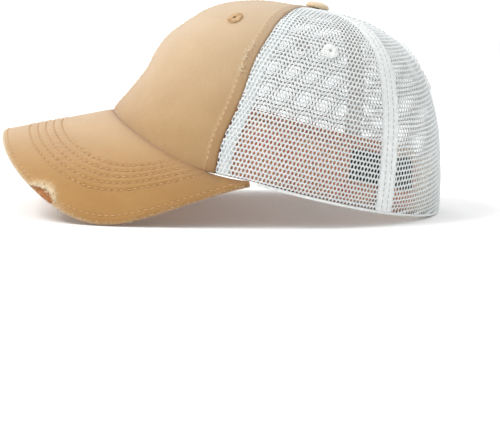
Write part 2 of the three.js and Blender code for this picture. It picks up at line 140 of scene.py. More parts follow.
# Front panels: two gores of washed cotton twill, sewn together down the centre front and folded
# over the front edge of the net, with a row of topstitching beside each seam. The crown's form and
# the way that it rests are the same as in the CAD source, in metres here.
MM = 0.001
RIM_HALF_LENGTH = 102.4 * MM
RIM_HALF_WIDTH = 83.5 * MM
CROWN_HEIGHT = 101 * MM
CROWN_LEAN = 4.5 * MM
RIM_DIP = 3 * MM
COTTON_WALL = 1.2 * MM
FRONT_SEAM = math.radians(66.5)
PANEL_TOP_RADIUS = 1.8 * MM
REST_TIP = math.radians(11.018)
REST_PLACE = Vector((0, 30.538 * MM, 21.660 * MM))
REST = Matrix.Translation(REST_PLACE) @ Matrix.Rotation(-REST_TIP, 4, "X")
CROWN_STEP = 1e-4  # in radians and in t, for slopes of the crown's surface
CROWN_PROFILE = np.array(
    [
        (0, 1, 1, 1),
        (0.17, 1, 0.985, 0.968),
        (0.31, 0.93, 0.96, 0.93),
        (0.45, 0.864, 0.925, 0.885),
        (0.563, 0.836, 0.885, 0.833),
        (0.67, 0.79, 0.83, 0.772),
        (0.74, 0.735, 0.785, 0.722),
        (0.81, 0.67, 0.725, 0.661),
        (0.86, 0.62, 0.665, 0.594),
        (0.916, 0.53, 0.57, 0.5),
        (0.957, 0.416, 0.45, 0.386),
        (0.985, 0.278, 0.3, 0.247),
        (1, 0, 0, 0),
    ],
    dtype=[("climb", float), ("front", float), ("side", float), ("back", float)],
)


def along_profile(column, t):
    """A smooth curve through one column of the crown's profile, with t from 0 to 1."""
    values = CROWN_PROFILE[column]
    last = len(values) - 1
    place = np.clip(t, 0, 1) * last
    row = np.minimum(place.astype(int), last - 1)
    part = place - row
    before = values[np.maximum(row - 1, 0)]
    here = values[row]
    after = values[row + 1]
    beyond = values[np.minimum(row + 2, last)]
    lead_in = (after - before) / 2
    lead_out = (beyond - here) / 2
    cubic = 2 * here - 2 * after + lead_in + lead_out
    square = 3 * after - 3 * here - 2 * lead_in - lead_out
    return ((cubic * part + square) * part + lead_in) * part + here


def crown_point(angle, t):
    """Points of the crown's outer surface, with the angle from the centre front and the rim level."""
    angle, t = np.broadcast_arrays(np.asarray(angle, float), np.asarray(t, float))
    wide = along_profile("side", t)
    ahead = along_profile("front", t)
    behind = along_profile("back", t)
    climb = along_profile("climb", t)
    reach = np.where(np.cos(angle) > 0, ahead, behind)
    below = np.minimum(t, 0) * (len(CROWN_PROFILE) - 1) * CROWN_PROFILE["climb"][1]
    x = RIM_HALF_WIDTH * wide * np.sin(angle)
    y = CROWN_LEAN * climb**2 - RIM_HALF_LENGTH * reach * np.cos(angle)
    return np.stack([x, y, CROWN_HEIGHT * (climb + below)], -1)


def crown_normal(angle, t):
    high = np.minimum(t + CROWN_STEP, 1 - CROWN_STEP)
    sideways = crown_point(angle + CROWN_STEP, t) - crown_point(angle - CROWN_STEP, t)
    upwards = crown_point(angle, high) - crown_point(angle, high - 2 * CROWN_STEP)
    normal = np.cross(sideways, upwards)
    return normal / np.linalg.norm(normal, axis=-1, keepdims=True)


def crown_offset(angle, t, offset):
    """Points on the crown moved along its normal, outwards where offset is positive."""
    angle, t = np.broadcast_arrays(np.asarray(angle, float), np.asarray(t, float))
    away = np.broadcast_to(np.asarray(offset, float), angle.shape)[..., None]
    return crown_point(angle, t) + crown_normal(angle, t) * away


def crown_girth(angle, t):
    """Length round the crown for each radian."""
    ends = crown_point(angle + CROWN_STEP, t) - crown_point(angle - CROWN_STEP, t)
    return np.linalg.norm(ends, axis=-1) / (2 * CROWN_STEP)


WALL_PER_T = CROWN_HEIGHT * (len(CROWN_PROFILE) - 1) * CROWN_PROFILE["climb"][1]
PROFILE_T = np.linspace(0, 1, 4001)
PROFILE_HEIGHT = CROWN_HEIGHT * along_profile("climb", PROFILE_T)
CROWN_TOP = np.array([0, CROWN_LEAN, CROWN_HEIGHT])


def t_at_height(height):
    inside = np.interp(height, PROFILE_HEIGHT, PROFILE_T)
    return np.where(np.asarray(height) < 0, np.asarray(height) / WALL_PER_T, inside)


def t_at_radius(radius, angle):
    """Where the crown comes within a radius of the centre of its top."""
    away = np.linalg.norm(crown_point(angle, PROFILE_T) - CROWN_TOP, axis=-1)
    return float(np.interp(-radius, -away, PROFILE_T))


# Visor's surface: a cone bent over its ridge line. The seam line where it meets the crown is also
# the lower edge of the front panels.
SEAM_GAP = 0.3 * MM
VISOR_LENGTH = 66 * MM
VISOR_START = np.array([0, -RIM_HALF_LENGTH, 18 * MM])
VISOR_PITCH = math.radians(22.3)
VISOR_TIP_BEND = 66 * MM
VISOR_BACK_BEND = 95.5 * MM
VISOR_BEND_RUN = 150 * MM
VISOR_END = math.radians(77.5)
VISOR_END_WIDTH = 1.2 * MM
VISOR_FULLNESS = 3.2
VISOR_FAN = 0.65
VISOR_THICK = 4.6 * MM
SEAM_SEARCH = (-0.5, 0.3)  # in t, between which the seam is looked for
SEAM_HALVINGS = 40
RIDGE_WAY = np.array([0, -math.cos(VISOR_PITCH), -math.sin(VISOR_PITCH)])
RIDGE_UP = np.array([0, RIDGE_WAY[2], -RIDGE_WAY[1]])
ACROSS = np.array([1.0, 0, 0])


def visor_bend(along):
    run = np.clip((VISOR_LENGTH - along) / VISOR_BEND_RUN, 0, 1)
    return VISOR_TIP_BEND + (VISOR_BACK_BEND - VISOR_TIP_BEND) * np.sin(run * math.pi / 2)


def visor_point(across, along, depth):
    bend = visor_bend(along)
    turn = np.arcsin(np.clip(across / bend, -1, 1))
    out = (bend - depth) * np.cos(turn) - bend
    side = (bend - depth) * np.sin(turn)
    ridge = VISOR_START + np.asarray(along)[..., None] * RIDGE_WAY
    return ridge + out[..., None] * RIDGE_UP + side[..., None] * ACROSS


def visor_normal(across, along):
    turn = np.arcsin(np.clip(across / visor_bend(along), -1, 1))
    return np.cos(turn)[..., None] * RIDGE_UP + np.sin(turn)[..., None] * ACROSS


def visor_seam(angle, depth):
    """Where the visor meets the crown: its place across and along the cone, and its height."""
    low = np.full(angle.shape, SEAM_SEARCH[0])
    high = np.full(angle.shape, SEAM_SEARCH[1])
    for _ in range(SEAM_HALVINGS):
        middle = (low + high) / 2
        point = crown_offset(angle, middle, SEAM_GAP)
        start = point - VISOR_START
        along = start @ RIDGE_WAY
        bend = visor_bend(along)
        past = np.hypot(point[..., 0], bend + start @ RIDGE_UP) > bend - depth
        high = np.where(past, middle, high)
        low = np.where(past, low, middle)
    return bend * point[..., 0] / (bend - depth), along, point[..., 2]


EDGE_ACROSS, EDGE_BACK, _ = visor_seam(np.array([VISOR_END]), 0)


def visor_edge(share):
    """The visor's outer edge, with share from -1 at one end to 1 at the other."""
    size = np.abs(share)
    fanned = size + VISOR_FAN * size * (1 - size)
    far = 1 - fanned**VISOR_FULLNESS
    wide = np.clip(1 - far**VISOR_FULLNESS, 0, 1) ** (1 / VISOR_FULLNESS)
    across = np.sign(share) * wide * (EDGE_ACROSS[0] + VISOR_END_WIDTH)
    return across, EDGE_BACK[0] + (VISOR_LENGTH - EDGE_BACK[0]) * far


LOW_ANGLES = np.linspace(0, math.pi, 721)
UNDER_HEIGHT = visor_seam(np.minimum(LOW_ANGLES, VISOR_END), VISOR_THICK)[2]
BEHIND_VISOR = np.clip((LOW_ANGLES - VISOR_END) / (math.pi - VISOR_END), 0, 1)
LOW_HEIGHTS = np.where(
    LOW_ANGLES > VISOR_END,
    -RIM_DIP * np.sin(math.pi * BEHIND_VISOR),
    np.maximum(0, UNDER_HEIGHT),
)


def low_edge(angle):
    """Height of the crown's lower edge: the rim, and the visor's underside in front."""
    turned = np.abs(np.arctan2(np.sin(angle), np.cos(angle)))
    return np.interp(turned, LOW_ANGLES, LOW_HEIGHTS)


def get_points(mesh):
    flat = np.empty(3 * len(mesh.vertices))
    mesh.vertices.foreach_get("co", flat)
    return flat.reshape(-1, 3)


def set_points(mesh, points):
    mesh.vertices.foreach_set("co", np.ascontiguousarray(points, dtype=np.float32).ravel())
    mesh.update()


def bent_sheet(columns, rows, place, size, tone_marks=None):
    """A grid bent by place(across, up). Its UVs are the cloth's own size in metres, and the marks, where
    they are given, are kept as an attribute: pale wear, painted shade and darker tone."""
    bm = bmesh.new()
    bm.loops.layers.uv.new("cloth")
    bmesh.ops.create_grid(
        bm,
        x_segments=columns,
        y_segments=rows,
        size=0.5,
        matrix=Matrix.Translation((0.5, 0.5, 0)),
        calc_uvs=True,
    )
    mesh = finish_mesh(bm, "sheet")
    across, up, _ = get_points(mesh).T
    set_points(mesh, place(across, up))
    layer = mesh.uv_layers["cloth"].uv
    values = np.empty(2 * len(layer), np.float32)
    layer.foreach_get("vector", values)
    layer.foreach_set("vector", (values.reshape(-1, 2) * size).astype(np.float32).ravel())
    if tone_marks is not None:
        attribute = mesh.attributes.new("tone_marks", "FLOAT", "POINT")
        attribute.data.foreach_set("value", tone_marks(across, up).astype(np.float32))
    return mesh


def finish_piece(name, mesh, material, nodes=(), wall=0.0):
    """Puts a mesh that was made with the rim level where the cap rests, as a piece of the cap."""
    mesh.transform(REST)
    mesh.materials.append(material)
    mesh.polygons.foreach_set("use_smooth", np.ones(len(mesh.polygons), bool))
    piece = bpy.data.objects.new(name, mesh)
    bpy.context.scene.collection.objects.link(piece)
    if wall:
        thickness = piece.modifiers.new("wall", "SOLIDIFY")
        thickness.thickness = wall
        thickness.offset = -1
        thickness.use_even_offset = False
    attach(piece, "root")
    if nodes:
        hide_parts(*nodes)
    return piece


def start_finish(name, roughness, sheen):
    material = bpy.data.materials.new(name)
    material.use_nodes = True
    shader = material.node_tree.nodes["Principled BSDF"]
    shader.inputs["Roughness"].default_value = roughness
    shader.inputs["Sheen Weight"].default_value = sheen
    shader.inputs["Specular IOR Level"].default_value = 0.25
    return material, material.node_tree, shader


def add_node(tree, kind, values=None, links=None, **settings):
    made = tree.nodes.new(kind)
    for key, value in settings.items():
        setattr(made, key, value)
    for socket, value in (values or {}).items():
        made.inputs[socket].default_value = value
    for socket, source in (links or {}).items():
        tree.links.new(source, made.inputs[socket])
    return made


def mix_colours(tree, share, first, second):
    """A Mix node between two colours, each a colour or another node's output."""
    mixer = tree.nodes.new("ShaderNodeMix")
    mixer.data_type = "RGBA"
    for socket, value in ((mixer.inputs[0], share), (mixer.inputs[6], first), (mixer.inputs[7], second)):
        if isinstance(value, bpy.types.NodeSocket):
            tree.links.new(value, socket)
        else:
            socket.default_value = value
    return mixer.outputs[2]


def spread(tree, source, low, high):
    """Stretches a value so that low becomes 0 and high becomes 1."""
    made = add_node(tree, "ShaderNodeMapRange", {"From Min": low, "From Max": high}, {"Value": source})
    return made.outputs["Result"]


def ribs(tree, coordinates, pitch, turn):
    """Bands with a pitch in metres, turned in the cloth's plane."""
    turned = add_node(tree, "ShaderNodeMapping", {"Rotation": (0, 0, turn)}, {"Vector": coordinates})
    wave = add_node(
        tree,
        "ShaderNodeTexWave",
        {"Scale": math.tau / 20 / pitch, "Distortion": 0.6, "Detail": 1.0},
        {"Vector": turned.outputs["Vector"]},
    )
    return wave.outputs["Fac"]


def speckle(tree, coordinates, size, detail=3.0):
    """Noise whose spots are about a size in metres."""
    made = add_node(
        tree, "ShaderNodeTexNoise", {"Scale": 1 / size, "Detail": detail}, {"Vector": coordinates}
    )
    return made.outputs["Fac"]


def add_bump(tree, shader, height, depth, below=None):
    bump = add_node(tree, "ShaderNodeBump", {"Strength": 1.0, "Distance": depth}, {"Height": height})
    if below is not None:
        tree.links.new(below, bump.inputs["Normal"])
    tree.links.new(bump.outputs["Normal"], shader.inputs["Normal"])
    return bump.outputs["Normal"]


def colour(red, green, blue):
    """A linear colour from the eight-bit values of a paint chart."""
    shares = (red / 255, green / 255, blue / 255)
    return tuple(s / 12.92 if s <= 0.04045 else ((s + 0.055) / 1.055) ** 2.4 for s in shares) + (1.0,)


WORN_COTTON = colour(236, 216, 180)
# Painted highlight: a pale cream mixed in towards the top of the crown and the visor, for the sheen of
# the light there.
TOP_HIGHLIGHT_COTTON = colour(243, 231, 206)
TOP_HIGHLIGHT_SHARE = 0.27
TWILL_PITCH = 0.8 * MM
TWILL_TURN = math.radians(58)
THREAD_PITCH = 0.45 * MM
THREAD_TURN = math.radians(-20)
MOTTLE_SIZE = 24 * MM
SLUB_SIZE = 0.9 * MM
FUZZ_SIZE = 0.7 * MM
CRUMPLE_SIZE = 3 * MM


def cotton_finish(name, light, dark, tone_marks, highlight_from, highlight_to):
    """Washed cotton twill: slanted ribs, slubs along the threads and soft mottling. It is painted paler
    between two heights, a painted highlight for the sheen towards the top. Where its attribute is
    above 0 it is pale with rubbed wear, and where it is below 0 it is darker: painted shade in
    grooves and along seams, and a darker fold band."""
    material, tree, shader = start_finish(name, 0.92, 0.45)
    cloth = add_node(tree, "ShaderNodeUVMap", uv_map="cloth").outputs["UV"]
    place = add_node(tree, "ShaderNodeTexCoord").outputs["Object"]
    twill = ribs(tree, cloth, TWILL_PITCH, TWILL_TURN)
    threads = ribs(tree, cloth, THREAD_PITCH, THREAD_TURN)
    mottle = spread(tree, speckle(tree, place, MOTTLE_SIZE), 0.3, 0.7)
    drawn = add_node(tree, "ShaderNodeMapping", {"Scale": (1, 0.12, 1)}, {"Vector": cloth})
    slubs = spread(tree, speckle(tree, drawn.outputs["Vector"], SLUB_SIZE, 2.0), 0.35, 0.7)
    height = add_node(tree, "ShaderNodeSeparateXYZ", {}, {0: place}).outputs["Z"]
    # Paler towards the top by height: a painted highlight for the sheen there.
    painted_highlight = add_node(
        tree,
        "ShaderNodeMapRange",
        {"From Min": highlight_from, "From Max": highlight_to, "To Max": TOP_HIGHLIGHT_SHARE},
        {"Value": height},
        interpolation_type="SMOOTHSTEP",
    )
    base = mix_colours(tree, mottle, light, dark)
    base = mix_colours(tree, painted_highlight.outputs["Result"], base, TOP_HIGHLIGHT_COTTON)
    grain = mix_colours(tree, slubs, (0.965, 0.96, 0.95, 1), (1.02, 1.02, 1.02, 1))
    grained = add_node(tree, "ShaderNodeMix", data_type="RGBA", blend_type="MULTIPLY")
    grained.inputs[0].default_value = 1.0
    tree.links.new(base, grained.inputs[6])
    tree.links.new(grain, grained.inputs[7])
    valley = add_node(tree, "ShaderNodeMath", {1: 0.16}, {0: twill}, operation="MULTIPLY")
    ribbed = mix_colours(tree, valley.outputs[0], grained.outputs[2], dark)
    # The attribute read here: above 0 it mixes in the pale colour of rubbed wear, and below 0 it darkens
    # the cotton, which paints shade in stitch grooves and a shadow line along seams, with a darker fold
    # band in front.
    rubbed = add_node(tree, "ShaderNodeAttribute", attribute_name="tone_marks").outputs["Fac"]
    fuzz = spread(tree, speckle(tree, place, FUZZ_SIZE), 0.3, 0.6)
    patch = add_node(
        tree, "ShaderNodeMath", {}, {0: rubbed, 1: fuzz}, operation="MULTIPLY", use_clamp=True
    )
    shown = mix_colours(tree, patch.outputs[0], ribbed, tone_marks)
    # Painted shade and darker tone: the share below 0, mixed towards a deeper brown.
    painted_shade_and_tone = add_node(
        tree, "ShaderNodeMath", {1: -1.0}, {0: rubbed}, operation="MULTIPLY", use_clamp=True
    )
    painted_shade_and_tone_colour = (0.6 * dark[0], 0.47 * dark[1], 0.37 * dark[2], 1.0)
    tree.links.new(mix_colours(tree, painted_shade_and_tone.outputs[0], shown, painted_shade_and_tone_colour), shader.inputs["Base Color"])
    weave = add_bump(tree, shader, twill, 0.05 * MM)
    fine = add_bump(tree, shader, threads, 0.03 * MM, weave)
    add_bump(tree, shader, speckle(tree, place, CRUMPLE_SIZE), 0.12 * MM, fine)
    return material


COTTON_LIGHT = colour(180, 146, 103)
COTTON_DARK = colour(172, 137, 94)
# Heights between which the painted highlight grows on the crown and the button.
CROWN_HIGHLIGHT_HEIGHTS = (45 * MM, 118 * MM)
PANEL_COLUMNS = 96
PANEL_ROWS = 100
EDGE_CROWDING = 0.62  # how much closer the columns lie at a panel's edges
TOPSTITCH_IN = 5.8 * MM
CENTRE_STITCH_IN = 2.4 * MM
FOLD_RISE = 0.45 * MM
GROOVE_DEPTH = 0.35 * MM
GROOVE_WIDTH = 0.5 * MM
PUCKER_PITCH = 3.2 * MM
PUCKER_HEIGHT = 0.1 * MM
DENT_HEIGHT = 0.25 * MM
FRONT_FLAT = (112 * MM, 128 * MM)
SEAM_CLEAR = 0.0015  # share of a panel left free at its seams
CALM_SIDES = 6  # the dents die out over a sixth of a panel at its seams
CALM_ENDS = 5  # and over a fifth at its ends

crown_cotton = cotton_finish(
    "washed cotton twill", COTTON_LIGHT, COTTON_DARK, WORN_COTTON, *CROWN_HIGHLIGHT_HEIGHTS
)


def crowded(share):
    """Even shares moved so that they lie closer together near 0 and 1."""
    return share - EDGE_CROWDING * np.sin(math.tau * share) / math.tau


def groove(distance, width=GROOVE_WIDTH):
    return np.exp(-((distance / width) ** 2))


def soft_dents(points):
    """Slow hollows and swells, as in cloth that was washed and shaped by hand."""
    x, y, z = (points / (10 * MM)).T
    swell = np.sin(0.9 * x + 0.5 * z + 1.3) * np.sin(0.7 * y - 0.6 * z)
    hollow = np.sin(1.7 * z - 1.1 * x + 0.4) * np.sin(1.3 * y + 0.8 * x + 2.1)
    return DENT_HEIGHT * (0.6 * swell + 0.4 * hollow)


def front_panel(side):
    top = t_at_radius(PANEL_TOP_RADIUS, 0)

    def layout(across, up):
        share = crowded(across if side > 0 else 1 - across)
        angle = side * FRONT_SEAM * np.clip(share, SEAM_CLEAR, 1 - SEAM_CLEAR)
        bottom = t_at_height(low_edge(angle))
        t = bottom + (top - bottom) * up
        girth = crown_girth(angle, t)
        return share, angle, t, np.abs(angle) * girth, (FRONT_SEAM - np.abs(angle)) * girth

    def place(across, up):
        share, angle, t, from_centre, from_seam = layout(across, up)
        points = crown_point(angle, t)
        climb = points[:, 2]
        calm = np.clip(share * CALM_SIDES, 0, 1) * np.clip((1 - share) * CALM_SIDES, 0, 1)
        calm *= np.clip((1 - up) * CALM_ENDS, 0, 1)
        relief = soft_dents(points) * calm * np.clip(up * CALM_ENDS, 0, 1)
        relief += FOLD_RISE * (0.5 + 0.5 * np.tanh((TOPSTITCH_IN - from_seam) / (0.4 * MM)))
        relief -= GROOVE_DEPTH * groove(from_seam - TOPSTITCH_IN)
        relief -= 2 * GROOVE_DEPTH * groove(from_seam, 0.7 * MM)
        relief -= GROOVE_DEPTH * groove(from_centre - CENTRE_STITCH_IN)
        relief -= 2 * GROOVE_DEPTH * groove(from_centre, 0.6 * MM)
        pucker = np.sin(math.tau * climb / PUCKER_PITCH)
        near = groove(from_seam - TOPSTITCH_IN, 1.6 * MM)
        near += groove(from_centre - CENTRE_STITCH_IN, 1.4 * MM)
        relief += PUCKER_HEIGHT * pucker * near
        return crown_offset(angle, t, relief)

    def tone_marks(across, up):
        _, _, _, from_centre, from_seam = layout(across, up)
        # Pale beside the topstitching and the centre seam, where the cloth is rubbed, and a darker tone
        # over the fold band. A painted shadow runs along the lower edge, where the visor meets it, and
        # painted shade lies in the stitch grooves and the seam.
        fold = 0.4 * groove(from_seam - TOPSTITCH_IN - 0.7 * MM, 0.6 * MM)
        fold -= 0.2 / (1 + np.exp((from_seam - TOPSTITCH_IN) / (0.3 * MM)))
        fold -= 0.7 * np.exp(-up / 0.022)
        fold -= 0.5 * groove(from_seam - TOPSTITCH_IN, 0.5 * MM) + 0.5 * groove(from_seam, 0.8 * MM)
        return fold + 0.3 * groove(from_centre - 3 * MM, 0.8 * MM)

    return bent_sheet(PANEL_COLUMNS, PANEL_ROWS, place, FRONT_FLAT, tone_marks)


for name, side in (("left", 1), ("right", -1)):
    panel = finish_piece(
        "front_cotton_" + name,
        front_panel(side),
        crown_cotton,
        ["front_panel_" + name],
        COTTON_WALL,
    )

# Net panels: four gores of stiff white polyester net, sewn to the cotton in front and to each other
# at the sides and the centre back. One cell of the net is modelled, laid out in staggered rows as
# flat cloth, trimmed to the gore and bent round the crown. The seam allowances close the holes.
SIDE_SEAM = math.radians(123.5)
NET_PITCH = 2.2 * MM
NET_ROW = 2.62 * MM
NET_WALL = 0.55 * MM
NET_HOLE_WIDTH = 1.42 * MM
NET_HOLE_HEIGHT = 1.95 * MM
NET_HOLE_SLANT = 0.12
NET_HOLE_SIDES = 12
NET_POINTED = 0.34 * MM
NET_SHALLOW = NET_ROW / 2 - NET_POINTED  # half a cell's height at its sides
NET_STEEP = NET_ROW / 2 + NET_POINTED  # and in its middle
NET_SEAM_ALLOWANCE = 4.2 * MM
NET_MERGE = 0.02 * MM
NET_LOWEST_T = -0.3
NET_SPARE = 0.65  # of a cell that is kept past a border and folded onto it
NET_NEAR = 1e-9  # in t, so that a row that starts on the rim is closed
OPENING_HEIGHT = 81 * MM
OPENING_WIDTH = 44 * MM
OPENING_LENGTH = 33 * MM
OPENING_SEARCH = 30 * MM  # before and behind its plane, where the crown is looked for
OPENING_HALVINGS = 30
FAR_AWAY = 1e3
NET_WHITE = colour(228, 232, 232)
NET_SHADE = colour(208, 214, 215)
NET_BACK_SLOPE = 0.2  # how much the rows of the back gores rise towards the centre back


def net_finish():
    """Stiff polyester yarn: white, a little glossy, with fine yarn ridges."""
    material, tree, shader = start_finish("white net yarn", 0.55, 0.2)
    place = add_node(tree, "ShaderNodeTexCoord").outputs["Object"]
    shade = spread(tree, speckle(tree, place, 2.2 * MM), 0.35, 0.7)
    tree.links.new(mix_colours(tree, shade, NET_WHITE, NET_SHADE), shader.inputs["Base Color"])
    add_bump(tree, shader, speckle(tree, place, 0.25 * MM, 2.0), 0.06 * MM)
    return material


net_yarn = net_finish()


def net_cell():
    """One closed-off cell of net: a pointed border and a slanted oval hole, with rounded yarn."""
    bm = bmesh.new()
    top = 0.5 * NET_WALL
    corners = [(-0.5, -NET_SHALLOW), (0, -NET_STEEP), (0.5, -NET_SHALLOW)]
    corners += [(-x, -y) for x, y in corners]
    border = [bm.verts.new((NET_PITCH * x, y, top)) for x, y in corners]
    rim = [bm.edges.new((border[i - 1], border[i])) for i in range(len(border))]
    bmesh.ops.subdivide_edges(bm, edges=rim, cuts=NET_HOLE_SIDES // len(corners) - 1)
    outline = list(bm.edges)
    for share, height in ((1.28, 0.42), (1.0, 0.0)):
        ring = bmesh.ops.create_circle(bm, segments=NET_HOLE_SIDES, radius=0.5 * share)["verts"]
        bmesh.ops.scale(bm, vec=(NET_HOLE_WIDTH, NET_HOLE_HEIGHT, 1), verts=ring)
        for v in ring:
            v.co.x += NET_HOLE_SLANT * v.co.y
            v.co.z = height * NET_WALL
        hole = [e for e in bm.edges if e.verts[0] in ring and e.verts[1] in ring]
        bmesh.ops.bridge_loops(bm, edges=outline + hole)
        outline = hole
    upper = bm.verts[:] + bm.edges[:] + bm.faces[:]
    twin = bmesh.ops.duplicate(bm, geom=upper)["geom"]
    lower = [g for g in twin if isinstance(g, bmesh.types.BMVert)]
    bmesh.ops.scale(bm, vec=(1, 1, -1), verts=lower)
    bmesh.ops.reverse_faces(bm, faces=[g for g in twin if isinstance(g, bmesh.types.BMFace)])
    bmesh.ops.remove_doubles(bm, verts=bm.verts, dist=NET_MERGE)
    bmesh.ops.recalc_face_normals(bm, faces=bm.faces)
    return finish_mesh(bm, "net cell")


def net_cloth(columns, rows):
    """Flat net of whole cells in staggered rows: its points, and each point's cell centre."""
    cell = net_cell()
    pattern = bpy.data.objects.new("net pattern", cell)
    bpy.context.scene.collection.objects.link(pattern)
    for count, step in ((columns, (NET_PITCH, 0, 0)), (rows, (NET_PITCH / 2, NET_ROW, 0))):
        array = pattern.modifiers.new("cells", "ARRAY")
        array.count = count
        array.use_relative_offset = False
        array.use_constant_offset = True
        array.constant_offset_displace = step
    graph = bpy.context.evaluated_depsgraph_get()
    mesh = bpy.data.meshes.new_from_object(pattern.evaluated_get(graph), depsgraph=graph)
    bpy.data.objects.remove(pattern)
    points = get_points(mesh)
    number = np.arange(len(points)) // len(cell.vertices)
    column = number % columns
    row = number // columns
    drift = (row - row % 2) * NET_PITCH / 2
    points[:, 0] -= drift + NET_PITCH * (columns // 2)
    centre_x = column * NET_PITCH + (row % 2) * NET_PITCH / 2 - NET_PITCH * (columns // 2)
    centre_y = row * NET_ROW
    return mesh, points, np.stack([centre_x, centre_y], 1)


OPENING_SEAT = (np.array([math.pi]), t_at_height(np.array([OPENING_HEIGHT])))
OPENING_CENTRE = crown_point(*OPENING_SEAT)[0]
OPENING_OUT = crown_normal(*OPENING_SEAT)[0]
OPENING_UP = np.cross(OPENING_OUT, (-1, 0, 0))


def opening_place(beside, above):
    """Crown angle and t for a place beside and above the centre of the ponytail opening."""
    flat = OPENING_CENTRE + above[:, None] * OPENING_UP + beside[:, None] * ACROSS
    low = np.full(len(beside), -OPENING_SEARCH)
    high = np.full(len(beside), OPENING_SEARCH)
    for _ in range(OPENING_HALVINGS):
        middle = (low + high) / 2
        point = flat + middle[:, None] * OPENING_OUT
        t = t_at_height(point[:, 2])
        wide = np.clip(beside / (RIM_HALF_WIDTH * along_profile("side", t)), -1, 1)
        angle = math.pi - np.arcsin(wide)
        outside = point[:, 1] > crown_point(angle, t)[:, 1]
        high = np.where(outside, middle, high)
        low = np.where(outside, low, middle)
    return angle, t


def opening_share(points):
    """Places beside and above the opening's centre, and their distance as a share of its edge."""
    above = (points - OPENING_CENTRE) @ OPENING_UP
    beside = points[:, 0]
    share = np.hypot(beside / (OPENING_WIDTH / 2), above / (OPENING_LENGTH / 2))
    share[points[:, 1] < 0] = FAR_AWAY
    return beside, above, share


def net_panel(start, end, closed_seams, slope, opening):
    """A gore of net between two seams. closed_seams are those where the allowance fills the holes,
    and slope is how much its rows rise along the angle."""
    middle = (start + end) / 2
    top = t_at_radius(PANEL_TOP_RADIUS, 0)
    steps = np.concatenate([np.linspace(NET_LOWEST_T, 0, 200)[:-1], np.linspace(0, top, 1500)])
    meridian = crown_point(middle, steps)
    climbed = np.concatenate([[0], np.cumsum(np.linalg.norm(np.diff(meridian, axis=0), axis=1))])
    climbed -= np.interp(0, steps, climbed)
    girths = crown_girth(middle, np.maximum(steps, 0))
    columns = int((end - start) * RIM_HALF_LENGTH / NET_PITCH) + 8
    spare = int(abs(slope) * (end - start) * RIM_HALF_LENGTH / 2 / NET_ROW) // 2 * 2
    rows = int(climbed[-1] / NET_ROW) + 3 + 2 * spare
    mesh, points, centres = net_cloth(columns, rows)
    points[:, 1] -= spare * NET_ROW
    centres[:, 1] -= spare * NET_ROW

    def bend(x, y):
        y = y + slope * x
        t = np.interp(y, climbed, steps)
        angle = middle + x / np.interp(y, climbed, girths)
        rim = low_edge(np.clip(angle, start, end))
        dip = t_at_height(np.minimum(rim, 0))
        t = t + dip * (1 - t / top)
        low = t_at_height(rim)
        return angle, t, low

    angle, t, _ = bend(centres[:, 0], centres[:, 1])
    girth = crown_girth(angle, np.clip(t, 0, top))
    close = np.full(len(angle), FAR_AWAY)
    for seam in closed_seams:
        close = np.minimum(close, np.abs(angle - seam) * girth)
    filled = np.clip((NET_SEAM_ALLOWANCE - close) / (0.6 * MM), 0, 1)
    local = points[:, :2] - centres
    size = np.hypot(local[:, 0] / NET_HOLE_WIDTH, local[:, 1] / NET_HOLE_HEIGHT)
    shrink = np.where(size < 0.66, 1 - 0.45 * filled, 1)
    flat = centres + local * shrink[:, None]
    angle_c, t_c, low_c = bend(centres[:, 0], centres[:, 1])
    angle, t, low = bend(flat[:, 0], flat[:, 1])
    margin = NET_PITCH * NET_SPARE / np.maximum(crown_girth(middle, np.clip(t_c, 0, top)), 1e-4)
    reach = (NET_STEEP + abs(slope) * NET_PITCH / 2) * 2 * NET_SPARE
    outside = (angle_c < start - margin) | (angle_c > end + margin)
    outside |= (low_c - t_c) * WALL_PER_T > reach
    outside |= centres[:, 1] + slope * centres[:, 0] > climbed[-1] + reach
    cut = (angle <= start) | (angle >= end) | (t <= low + NET_NEAR) | (t >= top)
    angle = np.clip(angle, start, end)
    t = np.clip(np.maximum(t, low), None, top)
    lift = np.where(cut, 0, points[:, 2]) - NET_WALL / 2
    if opening:
        beside, above, share = opening_share(crown_point(angle, t))
        centre_share = opening_share(crown_point(np.clip(angle_c, start, end), np.clip(t_c, 0, top)))[2]
        outside |= centre_share < 1 - 2 * reach / OPENING_LENGTH
        inside = (share < 1) & ~outside
        pulled = opening_place(beside[inside] / share[inside], above[inside] / share[inside])
        turned = pulled[0] - (math.tau if middle < 0 else 0)
        angle[inside] = np.clip(turned, start, end)
        t[inside] = pulled[1]
        lift[inside] = -NET_WALL / 2
        cut |= inside
    set_points(mesh, crown_offset(angle, t, lift))
    loops = np.empty(len(mesh.loops), np.int32)
    mesh.loops.foreach_get("vertex_index", loops)
    corners = loops.reshape(-1, 4)
    trimmed = cut[corners].all(1) | outside[corners].any(1)
    bm = bmesh.new()
    bm.from_mesh(mesh)
    bm.faces.ensure_lookup_table()
    bmesh.ops.delete(bm, geom=[bm.faces[i] for i in np.flatnonzero(trimmed)], context="FACES")
    bmesh.ops.remove_doubles(bm, verts=bm.verts, dist=NET_MERGE)
    bmesh.ops.dissolve_degenerate(bm, edges=bm.edges, dist=NET_MERGE / 2)
    return finish_mesh(bm, mesh)


for name, side in (("left", 1), ("right", -1)):
    front, seam, back = side * FRONT_SEAM, side * SIDE_SEAM, side * math.pi
    ear = finish_piece(
        "side_net_" + name,
        net_panel(min(front, seam), max(front, seam), [seam], 0, False),
        net_yarn,
        ["side_mesh_" + name],
    )
    rear = finish_piece(
        "back_net_" + name,
        net_panel(min(seam, back), max(seam, back), [seam, back], side * NET_BACK_SLOPE, True),
        net_yarn,
        ["back_mesh_" + name],
    )

